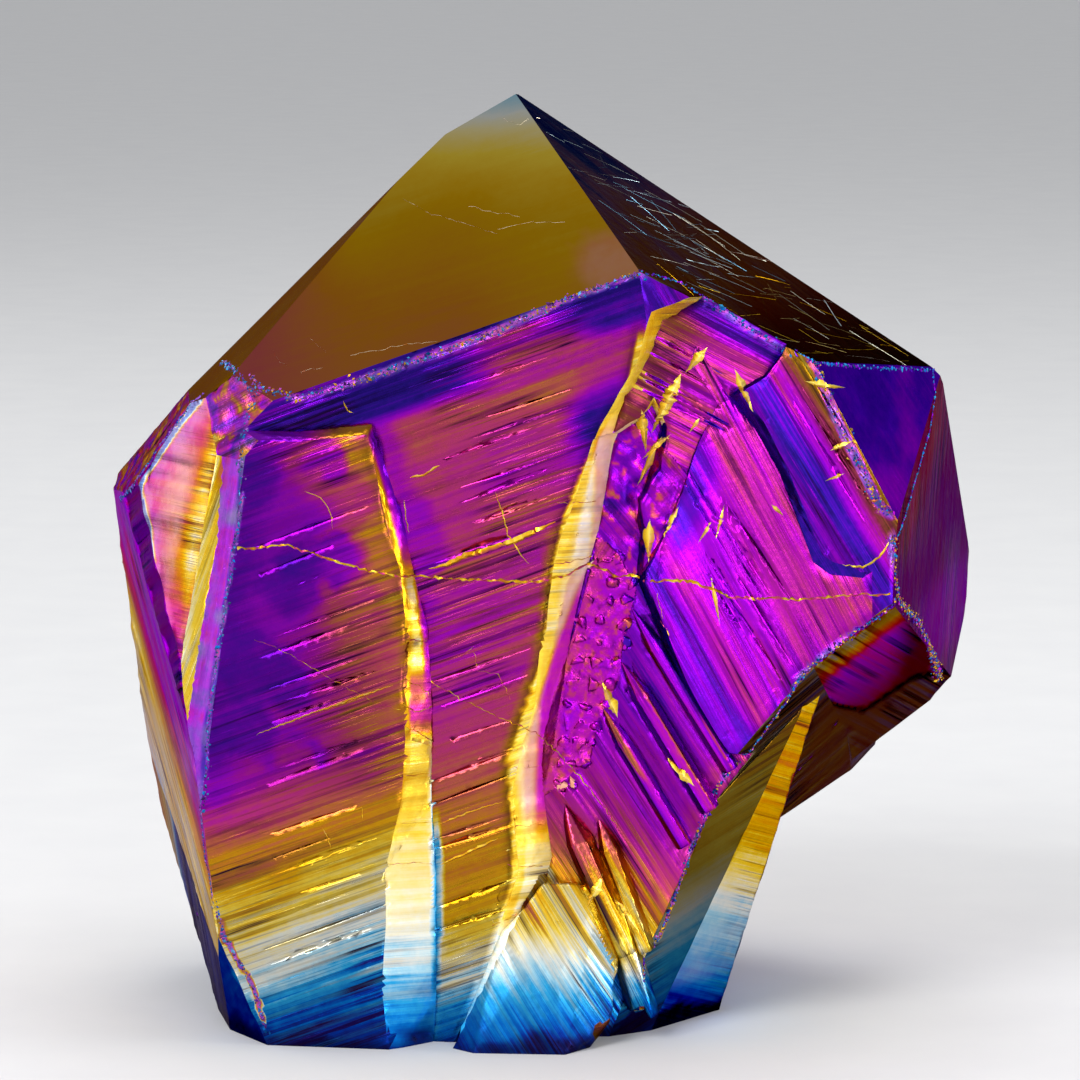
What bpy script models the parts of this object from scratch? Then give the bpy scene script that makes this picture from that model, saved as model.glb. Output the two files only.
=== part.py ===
"""Aura amethyst crystal: a chunk with a polished six-sided point and a flat sawn base.

It is one grown piece, so it is one closed solid. Its skin is a set of flat facets, and its
front is a flight of growth plates that step back from left to right.

A facet is (facing, tilt, distance): degrees round from the front with + to the right,
degrees above level, and millimetres from HEART. Outlines are (across, up) in millimetres,
as seen by someone who faces that side of the crystal.
"""
import math
import random

import bmesh
import bpy
from mathutils import Matrix, Vector

MM = 0.001
HEART = Vector((0.0, 0.0, 60.0))
ROUGH_BLOCK = 400.0     # side of the rough block that the facets are cut from
FAR = 90.0              # well outside the crystal on every side
LEAST_STEP = 0.4        # lowest riser between two plates
SMALLEST_EDGE = 0.005
FLAT_ANGLE = math.radians(0.02)
SEED = 7

FRONT, RIGHT, BACK, LEFT = 0, 90, 180, 270

# The polished point
CAP_FACETS = {
    "gold": (-29.5, 42.8, 42.6),
    "dark": (60.5, 54.5, 44.3),
    "rose sliver": (-75.0, 44.8, 44.2),
    "tip": (-60.0, 68.8, 52.3),
    "back left": (-96.5, 44.8, 41.6),
    "far back left": (-140.0, 47.0, 36.0),
    "back": (178.0, 42.0, 30.2),
    "back right": (123.0, 50.4, 36.9),
}
# The front of the prism, where the growth plates lie
FIRST_PLATE = (-9.0, 0.0, 35.6)
SECOND_PLATE = (-9.0, -2.5, 33.2)
UPPER_HOLLOW = (3.0, -1.0, 33.0)
LOWER_HOLLOW = (0.0, -3.0, 29.5)
FOURTH_PLATE = (6.0, 1.0, 34.6)
FIFTH_PLATE = (14.0, 1.0, 39.3)
FRONT_FACETS = {"left plates": FIRST_PLATE, "right plates": FIFTH_PLATE}
# The left flank
LEFT_FACETS = {
    "corner chip": (-38.5, 24.0, 46.5),
    "seam strip": (-24.0, 2.0, 42.5),
    "gold hatch": (-40.0, 4.5, 46.9),
    "rose leaf": (-63.0, 8.0, 48.2),
    "shoulder": (-80.0, 25.0, 47.8),
    "violet hatch": (-73.5, -2.5, 49.6),
    "lower flank": (-77.0, -7.0, 49.9),
    "lower bevel": (-79.0, -11.0, 52.2),
    "foot bevel": (-58.5, -19.0, 61.3),
    "heel": (-112.0, -38.0, 62.6),
}
# The right side of the head
HEAD_FACETS = {
    "indigo": (54.0, 20.0, 50.2),
    "violet": (73.0, -2.5, 49.3),
    "brow": (100.0, 20.0, 50.3),
    "cheek": (100.0, -15.0, 57.4),
    "jaw": (110.0, -28.5, 54.0),
}
BACK_FACETS = {
    "back left": (-122.0, -6.0, 50.6),
    "far back left": (-155.0, -3.0, 41.0),
    "far back": (168.0, 2.0, 37.0),
    "back right": (140.0, -6.0, 43.5),
}
# The right side under the head, where the crystal draws in to its foot. Each of these three
# lists is a block of its own, and the crystal is what lies in any of them.
UNDER_HEAD_FACETS = {
    "violet": (52.5, -42.0, 42.6),
    "dusk": (105.0, -54.8, 48.0),
}
WAIST_FACETS = {
    "shelf": (58.9, -34.3, 44.2),
    "brown": (70.0, -21.3, 44.8),
    "under": (110.0, -71.4, 43.6),
}
FOOT_FACETS = {
    "olive": (32.0, -15.3, 41.7),
    "gold": (52.0, -20.9, 44.7),
    "side": (95.0, -14.5, 35.5),
    "heel": (130.0, -12.0, 37.0),
}


def outward(facing, tilt):
    """Unit vector that a facet with this facing and tilt points along."""
    round_angle = math.radians(facing)
    up_angle = math.radians(tilt)
    level = math.cos(up_angle)
    return Vector((math.sin(round_angle) * level, -math.cos(round_angle) * level, math.sin(up_angle)))


def clear_the_file():
    for thing in list(bpy.data.objects):
        bpy.data.objects.remove(thing, do_unlink=True)


def as_object(shape, name):
    """Close the bmesh up, point its faces outward and put it in the scene."""
    bmesh.ops.recalc_face_normals(shape, faces=shape.faces)
    mesh = bpy.data.meshes.new(name)
    shape.to_mesh(mesh)
    shape.free()
    thing = bpy.data.objects.new(name, mesh)
    bpy.context.collection.objects.link(thing)
    return thing


def heal(body):
    """Join corners that a cut has left closer than SMALLEST_EDGE and split its faces into triangles.

    Where joining them would tear the skin, the body stays as the cut left it."""
    shape = bmesh.new()
    shape.from_mesh(body.data)
    bmesh.ops.dissolve_limit(shape, angle_limit=FLAT_ANGLE, verts=shape.verts, edges=shape.edges)
    bmesh.ops.triangulate(shape, faces=shape.faces)
    bmesh.ops.remove_doubles(shape, verts=shape.verts, dist=SMALLEST_EDGE)
    bmesh.ops.dissolve_degenerate(shape, edges=shape.edges, dist=SMALLEST_EDGE)
    bmesh.ops.triangulate(shape, faces=shape.faces)
    if all(edge.is_manifold for edge in shape.edges):
        shape.to_mesh(body.data)
    shape.free()


def combine(body, tool, operation):
    """Apply an exact Boolean of `tool` on `body` and throw the tool away."""
    step = body.modifiers.new(operation.lower(), "BOOLEAN")
    step.operation = operation
    step.solver = "EXACT"
    step.object = tool
    bpy.context.view_layer.objects.active = body
    bpy.ops.object.modifier_apply(modifier=step.name)
    bpy.data.objects.remove(tool, do_unlink=True)
    heal(body)


def faceted_block(facets, name):
    """Cut a rough block by each facet's plane and keep the side that holds the heart."""
    shape = bmesh.new()
    bmesh.ops.create_cube(shape, size=ROUGH_BLOCK, matrix=Matrix.Translation(HEART))
    for facing, tilt, distance in facets:
        direction = outward(facing, tilt)
        everything = shape.verts[:] + shape.edges[:] + shape.faces[:]
        cut = bmesh.ops.bisect_plane(
            shape, geom=everything, plane_co=HEART + direction * distance,
            plane_no=direction, clear_outer=True)
        rim = [part for part in cut["geom_cut"] if isinstance(part, bmesh.types.BMEdge)]
        if rim:
            bmesh.ops.contextual_create(shape, geom=rim)
    return as_object(shape, name)


def depth_on(facet, across, up, side):
    """How far behind the viewer's zero a facet lies at (across, up), seen from `side`."""
    facing, tilt, distance = facet
    direction = outward(facing - side, tilt)
    return (distance - direction.x * across - direction.z * (up - HEART.z)) / direction.y


def ring(shape, outline, depth, turn):
    """Vertices of an outline, each at the depth that `depth` gives for it."""
    return [shape.verts.new(turn @ Vector((across, depth(across, up), up))) for across, up in outline]


def loft(shape, rings, name):
    """Closed solid through rings of as many points each, capped at both ends."""
    for near, far in zip(rings, rings[1:]):
        for i in range(len(near)):
            j = (i + 1) % len(near)
            shape.faces.new((near[i], near[j], far[j], far[i]))
    shape.faces.new(rings[0])
    shape.faces.new(rings[-1])
    shape.normal_update()
    bmesh.ops.triangulate(shape, faces=shape.faces)
    return as_object(shape, name)


def step_back(body, upper, floor, brink, foot, side=FRONT):
    """Take away what stands in front of `floor` inside an outline.

    The outline is `brink` on the upper plate and `foot` on the floor, so its sides are risers."""
    shape = bmesh.new()
    turn = Matrix.Rotation(math.radians(side), 3, "Z")

    def bottom(across, up):
        return depth_on(floor, across, up, side)

    def top(across, up):
        return min(depth_on(upper, across, up, side), bottom(across, up) - LEAST_STEP)

    rings = [
        ring(shape, foot, bottom, turn),
        ring(shape, brink, top, turn),
        ring(shape, brink, lambda x, z: -FAR, turn),
    ]
    combine(body, loft(shape, rings, "step"), "DIFFERENCE")


def hull(points, name="lump"):
    """The faceted lump that just holds these points."""
    shape = bmesh.new()
    for point in points:
        shape.verts.new(point)
    result = bmesh.ops.convex_hull(shape, input=shape.verts)
    bmesh.ops.delete(shape, geom=result["geom_interior"], context="VERTS")
    return as_object(shape, name)


def crystal_block():
    """The point and the prism, drawn in on the right below the head."""
    base = [(0.0, -90.0, HEART.z)]
    prism = list(FRONT_FACETS.values()) + list(LEFT_FACETS.values()) + list(BACK_FACETS.values())
    block = faceted_block(
        base + list(CAP_FACETS.values()) + prism + list(HEAD_FACETS.values()), "crystal")
    waste = faceted_block([], "waste")
    for facets in (UNDER_HEAD_FACETS, WAIST_FACETS, FOOT_FACETS):
        combine(waste, faceted_block(facets.values(), "kept"), "DIFFERENCE")
    combine(block, waste, "DIFFERENCE")
    return block


# The first plate's ledge and riser, from the left end of the ledge down to the base
FIRST_BRINK = [(-60.0, 74.0), (-36.0, 73.5), (-28.5, 73.5), (-20.5, 74.5), (-19.5, 70.5), (-18.0, 63.0),
               (-16.5, 58.0), (-16.0, 52.5), (-16.5, 44.0), (-16.0, 38.0), (-16.5, 30.5), (-18.5, 22.0),
               (-18.5, 14.5), (-19.0, 7.5), (-18.0, -2.0)]
FIRST_FOOT = [(-60.0, 74.5), (-36.0, 74.5), (-28.5, 74.5), (-20.0, 75.5), (-18.5, 71.0), (-16.0, 63.0),
              (-15.0, 57.5), (-13.5, 51.5), (-13.0, 44.5), (-13.0, 36.0), (-13.0, 30.0), (-12.5, 21.0),
              (-12.5, 13.0), (-12.5, 6.0), (-13.0, -2.0)]
ABOVE_AND_RIGHT = [(FAR, -2.0), (FAR, 130.0), (-60.0, 130.0)]
# The second plate's riser beside the upper hollow, from the point down
SECOND_TOP_BRINK = [
    (21.0, 96.0), (17.5, 92.0), (13.0, 89.5), (11.5, 83.5), (9.5, 80.0), (7.0, 75.5), (5.5, 71.0),
]
SECOND_TOP_FOOT = [
    (23.0, 94.0), (19.0, 90.5), (14.5, 88.0), (12.5, 83.0), (10.0, 79.0), (8.5, 74.0), (8.0, 70.0),
]
# The fourth plate's left edge, from its left corner up to the point
FOURTH_TOP_BRINK = [(11.0, 62.0), (13.0, 57.5), (16.0, 63.0), (18.0, 68.0), (19.5, 72.5), (21.5, 77.5),
                    (23.5, 79.0), (27.0, 81.0), (29.0, 84.0), (32.0, 90.0)]
FOURTH_TOP_FOOT = [(10.5, 62.5), (12.0, 57.5), (15.0, 63.5), (17.0, 68.5), (18.5, 73.0), (21.0, 78.0),
                   (23.0, 79.5), (26.5, 81.5), (28.5, 84.0), (32.0, 90.0)]
# The deep hollow between the second riser and the fourth plate, left side down, right side up
HOLLOW_BRINK = [
    (6.3, 74.0), (4.5, 68.0), (2.5, 64.0), (1.0, 58.5), (0.0, 48.5), (-0.5, 42.5), (-2.5, 35.0),
    (-3.5, 30.5), (-2.5, 21.5), (-5.0, 14.0), (-7.0, 6.5), (-11.5, -2.0), (FAR, -2.0), (FAR, 30.0),
    (27.0, 36.0), (23.0, 36.5), (20.5, 40.5), (18.0, 45.0), (14.5, 53.5), (13.0, 57.0),
    (13.5, 62.5), (13.0, 66.5), (15.5, 70.0), (16.0, 76.0), (14.0, 80.5), (12.0, 77.0), (9.0, 75.5),
]
HOLLOW_FOOT = [
    (8.8, 73.0), (7.8, 67.0), (7.0, 62.5), (5.5, 57.5), (3.5, 48.5), (2.5, 42.0), (1.5, 35.0),
    (0.5, 30.0), (1.5, 22.5), (-0.5, 15.0), (-3.0, 6.0), (-7.0, -2.0), (FAR, -2.0), (FAR, 30.0),
    (27.0, 35.0), (22.0, 35.5), (19.3, 39.7), (16.7, 44.2), (13.2, 52.7), (11.7, 56.5),
    (12.0, 62.0), (11.5, 66.5), (13.5, 70.5), (14.5, 75.0), (13.2, 78.0), (11.7, 75.8), (9.3, 74.2),
]
# The fifth plate's left edge and the curved ledge that it ends in
FIFTH_BRINK = [
    (20.0, 86.0), (23.5, 79.5), (26.5, 76.0), (29.5, 70.0), (33.5, 60.0), (35.0, 59.0),
    (38.0, 58.5), (40.5, 60.0), (42.0, 63.0), (FAR, 66.0),
]
FIFTH_FOOT = [
    (18.5, 85.0), (22.5, 78.5), (25.5, 75.0), (28.5, 69.5), (32.5, 59.0), (34.5, 57.5),
    (38.5, 57.0), (41.5, 59.0), (43.0, 62.0), (FAR, 64.5),
]
BELOW_FIFTH = [(FAR, 20.0), (18.0, 20.0), (12.0, 40.0), (10.5, 57.0), (12.5, 66.0), (15.0, 76.0)]


def front_plates(crystal):
    """The first plate, which stands proud of the second."""
    step_back(crystal, FIRST_PLATE, SECOND_PLATE,
              FIRST_BRINK + ABOVE_AND_RIGHT, FIRST_FOOT + ABOVE_AND_RIGHT)


def right_plates(crystal):
    """The fourth and fifth plates and the two hollows beside them."""
    step_back(crystal, FIFTH_PLATE, FOURTH_PLATE, FIFTH_BRINK + BELOW_FIFTH, FIFTH_FOOT + BELOW_FIFTH)
    step_back(crystal, SECOND_PLATE, UPPER_HOLLOW,
              SECOND_TOP_BRINK + FOURTH_TOP_BRINK, SECOND_TOP_FOOT + FOURTH_TOP_FOOT)
    step_back(crystal, SECOND_PLATE, LOWER_HOLLOW, HOLLOW_BRINK, HOLLOW_FOOT)


# The back, as seen by someone who stands behind the crystal
BACK_FLOOR = (168.0, -1.0, 33.4)
BACK_BRINK = [
    (-60.0, 46.0), (-24.0, 47.0), (-17.0, 53.5), (-9.0, 52.0), (-4.0, 60.0), (3.0, 63.5),
    (8.0, 58.0), (11.0, 47.0), (9.5, 36.0), (13.0, 24.0), (11.5, 12.0), (14.5, -2.0), (-60.0, -2.0),
]
BACK_FOOT = [
    (-60.0, 44.5), (-24.0, 45.5), (-17.5, 51.5), (-9.5, 49.5), (-5.5, 57.5), (2.0, 61.0),
    (6.0, 56.5), (9.0, 47.0), (7.0, 36.5), (10.0, 25.0), (8.5, 12.0), (11.0, -2.0), (-60.0, -2.0),
]
SIDE_FLOOR = (-155.0, -5.0, 37.6)
SIDE_BRINK = [
    (15.0, 96.0), (19.0, 84.0), (17.5, 72.0), (21.5, 62.0), (20.0, 47.0), (24.0, 33.0),
    (23.0, 18.0), (27.0, -2.0), (60.0, -2.0), (60.0, 96.0),
]
SIDE_FOOT = [
    (18.0, 96.0), (22.0, 84.0), (20.0, 73.0), (24.5, 62.5), (23.0, 47.0), (27.5, 33.0),
    (26.0, 19.0), (31.0, -2.0), (60.0, -2.0), (60.0, 96.0),
]


def back_plates(crystal):
    """Two broken steps down the back."""
    step_back(crystal, BACK_FACETS["far back"], BACK_FLOOR, BACK_BRINK, BACK_FOOT, BACK)
    step_back(crystal, BACK_FACETS["far back left"], SIDE_FLOOR, SIDE_BRINK, SIDE_FOOT, BACK)


# The small crystals at the foot of the front: tip, root, width and thickness
FAN_CORNERS = [
    (0.5, -29.0, 19.5), (3.0, -28.5, 19.0), (7.5, -28.5, 19.0), (9.5, -28.5, 14.0), (9.0, -30.0, 8.0),
    (8.5, -31.5, 3.0), (6.0, -32.0, 0.0), (3.0, -35.8, 0.0), (-8.0, -35.0, 0.0), (-10.5, -32.5, 0.0),
    (-7.0, -32.0, 7.0), (-4.5, -31.0, 14.0), (-3.0, -33.6, 8.0), (2.0, -33.4, 8.5),
    (-6.0, -22.0, 0.0), (6.0, -22.0, 0.0), (6.0, -22.0, 17.0), (0.0, -22.0, 17.0),
]
BLADES = [
    ((3.0, -28.0, 29.0), (10.5, -27.8, 11.0), 3.4, 4.8),
    ((7.0, -27.6, 27.5), (12.8, -27.2, 11.0), 2.8, 4.4),
    ((8.2, -27.8, 20.0), (12.6, -27.4, 3.0), 3.2, 5.0),
    ((10.8, -29.6, 53.5), (23.0, -28.8, 33.5), 2.0, 2.6),
    ((9.5, -29.2, 47.0), (20.5, -28.6, 28.5), 2.6, 3.0),
    ((7.5, -28.8, 41.0), (17.5, -28.2, 24.0), 2.2, 2.6),
]
BLADE_SIDES = 6
SHOULDER = 0.25         # how far down from a blade's tip it has its full width


def blade(tip, root, width, thickness):
    """A slender six-sided crystal with a point at its tip."""
    tip, root = Vector(tip), Vector(root)
    length = root - tip
    across = length.cross(Vector((0.0, 1.0, 0.0))).normalized() * (width / 2)
    deep = Vector((0.0, thickness / 2, 0.0))
    points = [tip]
    for along in (SHOULDER, 1.0):
        for i in range(BLADE_SIDES):
            angle = math.tau * i / BLADE_SIDES
            points.append(tip + length * along + across * math.cos(angle) + deep * math.sin(angle))
    return hull(points, "blade")


def foot_crystals(crystal):
    combine(crystal, hull(FAN_CORNERS), "UNION")
    for tip, root, width, thickness in BLADES:
        combine(crystal, blade(tip, root, width, thickness), "UNION")


# Chips out of the front edge of the base, under the foot's lip
CHIPS = [
    [(7.0, -45.0, -1.0), (16.0, -45.0, -1.0), (9.5, -45.0, 5.0), (13.5, -45.0, 5.4),
     (8.0, -27.0, -1.0), (15.0, -22.0, -1.0), (9.0, -28.5, 3.0), (12.5, -26.0, 4.6)],
    [(16.0, -45.0, -1.0), (24.0, -45.0, -1.0), (16.5, -45.0, 5.6), (20.5, -45.0, 2.4),
     (16.0, -21.0, -1.0), (23.5, -16.0, -1.0), (16.8, -23.4, 4.5), (20.5, -18.5, 1.6)],
]


def chip_base(crystal):
    for corners in CHIPS:
        combine(crystal, hull(corners), "DIFFERENCE")


# Growth lines: plate, viewed side, lean above level, across range, up range and how many
GROWTH_LINES = [
    (FIRST_PLATE, FRONT, 21.0, (-29.0, -25.0), (10.0, 66.0), 16),
    (SECOND_PLATE, FRONT, 21.0, (-9.0, -6.0), (14.0, 50.0), 9),
    (SECOND_PLATE, FRONT, 21.0, (-8.0, -2.0), (64.0, 82.0), 7),
    (UPPER_HOLLOW, FRONT, -28.0, (14.0, 17.0), (77.0, 85.0), 5),
    (FOURTH_PLATE, FRONT, -58.0, (20.0, 27.0), (50.0, 66.0), 9),
    (FIFTH_PLATE, FRONT, -58.0, (31.0, 36.0), (68.0, 80.0), 5),
    (LEFT_FACETS["rose leaf"], LEFT, 4.0, (0.0, 5.0), (66.0, 82.0), 6),
    (BACK_FACETS["far back"], BACK, -12.0, (-18.0, 10.0), (67.0, 80.0), 7),
    (BACK_FLOOR, BACK, -12.0, (-16.0, -4.0), (9.0, 42.0), 9),
    (SIDE_FLOOR, BACK, 15.0, (33.0, 34.0), (20.0, 70.0), 6),
    (BACK_FACETS["back right"], RIGHT, 24.0, (18.0, 24.0), (52.0, 76.0), 6),
]
LINE_LENGTH = (10.0, 24.0)
LINE_WIDTH = (0.5, 1.1)
LINE_DEPTH = (0.25, 0.5)
LINE_EDGES = (0.7, -0.3)        # where a line's two edges and its bottom lie, as parts of its width
LINE_BOTTOM = 0.1
LINE_SWAY = 2.0         # degrees that a line strays from its lean
BROAD_LEDGE = {"middle": (-6.5, 61.0), "lean": 19.0, "length": 17.0, "width": 1.8, "depth": 0.7}
PROUD = 0.15            # how far a cutter stands out of the face it cuts


def groove(body, plate, side, middle, lean, length, width, depth):
    """Cut a long shallow growth line that runs out to a point at both ends."""
    turn = Matrix.Rotation(math.radians(side), 3, "Z")
    along = Vector((math.cos(math.radians(lean)), math.sin(math.radians(lean))))
    square = Vector((-along.y, along.x))

    def spot(shift, sink):
        across, up = Vector(middle) + shift
        return turn @ Vector((across, depth_on(plate, across, up, side) + sink, up))

    combine(body, hull([
        spot(-along * length / 2, -PROUD), spot(along * length / 2, -PROUD),
        spot(square * width * LINE_EDGES[0], -PROUD), spot(square * width * LINE_EDGES[1], -PROUD),
        spot(square * width * LINE_BOTTOM, depth)]), "DIFFERENCE")


def growth_lines(crystal):
    groove(crystal, SECOND_PLATE, FRONT, **BROAD_LEDGE)
    for plate, side, lean, across_range, up_range, count in GROWTH_LINES:
        for number in range(count):
            up = up_range[0] + (up_range[1] - up_range[0]) * (number + random.random()) / count
            across = random.uniform(*across_range)
            groove(crystal, plate, side, (across, up), lean + random.uniform(-LINE_SWAY, LINE_SWAY),
                   random.uniform(*LINE_LENGTH), random.uniform(*LINE_WIDTH), random.uniform(*LINE_DEPTH))


# The rough lumpy zone beside the second riser: how high, where its middle lies and its half width
LUMPY_ROWS = [
    (31.5, 3.0, 0.8), (34.0, 3.8, 1.2), (36.5, 4.4, 1.6), (39.0, 5.0, 1.9), (41.5, 5.6, 2.1),
    (44.0, 6.2, 2.3), (46.5, 6.8, 2.5), (49.0, 7.2, 2.6), (51.5, 7.6, 2.6), (54.0, 8.2, 2.6),
    (56.5, 8.4, 2.2), (59.0, 8.0, 1.5),
]
LUMPS_PER_ROW = 3
LUMP_SIZE = (0.8, 1.15)
LUMP_RISE = 0.5
LUMP_CORNERS = 10
LUMP_STRAY = 0.3        # how far a lump lies from its place in the row


def lump(middle, size):
    points = []
    for _ in range(LUMP_CORNERS):
        way = Vector([random.gauss(0.0, 1.0) for _ in range(3)]).normalized()
        points.append(middle + Vector((way.x * size, way.y * LUMP_RISE, way.z * size)))
    return hull(points)


def rough_zone(crystal):
    for up, across, spread in LUMPY_ROWS:
        for count in range(LUMPS_PER_ROW):
            x = across + spread * (count - 1) + random.uniform(-LUMP_STRAY, LUMP_STRAY)
            z = up + random.uniform(-LUMP_STRAY, LUMP_STRAY)
            middle = Vector((x, depth_on(LOWER_HOLLOW, x, z, FRONT), z))
            combine(crystal, lump(middle, random.uniform(*LUMP_SIZE)), "UNION")


def finish(crystal):
    """Scale to metres, stand the base's middle on the origin and give the coating's colour."""
    mesh = crystal.data
    low = [min(v.co[i] for v in mesh.vertices) for i in range(3)]
    high = [max(v.co[i] for v in mesh.vertices) for i in range(3)]
    middle = Vector(((low[0] + high[0]) / 2, (low[1] + high[1]) / 2, low[2]))
    mesh.transform(Matrix.Scale(MM, 4) @ Matrix.Translation(-middle))
    coating = bpy.data.materials.new("aura coating")
    coating.use_nodes = True
    shader = coating.node_tree.nodes["Principled BSDF"]
    shader.inputs["Base Color"].default_value = (0.27, 0.03, 0.42, 1.0)
    shader.inputs["Metallic"].default_value = 0.9
    shader.inputs["Roughness"].default_value = 0.25
    mesh.materials.clear()
    mesh.materials.append(coating)


def main():
    clear_the_file()
    random.seed(SEED)
    crystal = crystal_block()
    right_plates(crystal)
    front_plates(crystal)
    back_plates(crystal)
    foot_crystals(crystal)
    chip_base(crystal)
    rough_zone(crystal)
    growth_lines(crystal)
    finish(crystal)


main()
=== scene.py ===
"""Aura amethyst crystal: the finished look of the carved solid, with its film of rainbow metal.

Work is in millimetres from the drawing, whose zero is the middle of the sawn base, and it
turns to metres at the end. A place on the crystal is (across, up), as seen by someone who
faces that side, and a facet is (facing, tilt, distance from HEART), as in the carved solid.
"""
import itertools
import math
import random

import bmesh
import bpy
import numpy as np
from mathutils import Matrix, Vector
from mathutils.bvhtree import BVHTree
from mathutils.kdtree import KDTree


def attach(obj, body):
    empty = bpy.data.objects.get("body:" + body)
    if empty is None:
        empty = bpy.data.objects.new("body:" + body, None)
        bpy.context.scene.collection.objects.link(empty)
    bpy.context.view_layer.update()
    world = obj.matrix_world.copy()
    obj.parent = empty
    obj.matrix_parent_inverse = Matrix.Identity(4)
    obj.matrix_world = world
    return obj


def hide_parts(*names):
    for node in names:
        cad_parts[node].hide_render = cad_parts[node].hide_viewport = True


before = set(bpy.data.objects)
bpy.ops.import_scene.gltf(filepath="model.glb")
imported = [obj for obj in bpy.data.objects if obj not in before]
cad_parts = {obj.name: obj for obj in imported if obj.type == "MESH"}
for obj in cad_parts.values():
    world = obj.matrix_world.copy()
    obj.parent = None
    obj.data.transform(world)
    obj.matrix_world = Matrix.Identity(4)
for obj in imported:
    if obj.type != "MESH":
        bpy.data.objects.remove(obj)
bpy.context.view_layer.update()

MM = 0.001
FAR = 1e9           # farther away than anything
DRAWING_ZERO = np.array((-0.204, -1.621, 0.0))     # where the drawing's zero lies, in mm
HEART = np.array((0.0, 0.0, 60.0))
FRONT, RIGHT, BACK, LEFT = 0, 90, 180, 270
SEED = 11
MIXERS = (73856093, 19349663, 83492791)     # odd numbers that scatter a noise corner's place
SEED_MIXER, LAST_MIXER = 2654435761, 1274126177


# ---------------------------------------------------------------- the facets and their looks

USUAL = dict(side=FRONT, lean=0, zero=0, film=0.8, swing=0.1, grain=0.5, rough=0.3, ribs=0, lumps=0,
             matt=0, pale=0, dark=0)


def look(facet=None, **special):
    """How one facet looks, where that isn't as usual.

    film is the coating's thickness along the rainbow: 0.1 is blue, 0.3 cream, 0.4 yellow, 0.5
    bronze, 0.6 rose, 0.7 magenta, 0.8 violet and 0.9 deep blue. It may be stops of (height,
    thickness), read at across = zero on lines that lean tint_lean, and dark may be stops of
    (height, darkness). A facet with a painter of its own may read its stops another way. swing
    is how far the streaks along lean move the film. matt is the share that shines like stone
    and not like metal. ribs and lumps are how high the skin stands up, in mm."""
    facts = {**USUAL, "facet": facet, **special}
    facts.setdefault("tint_lean", facts["lean"])
    return facts


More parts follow.
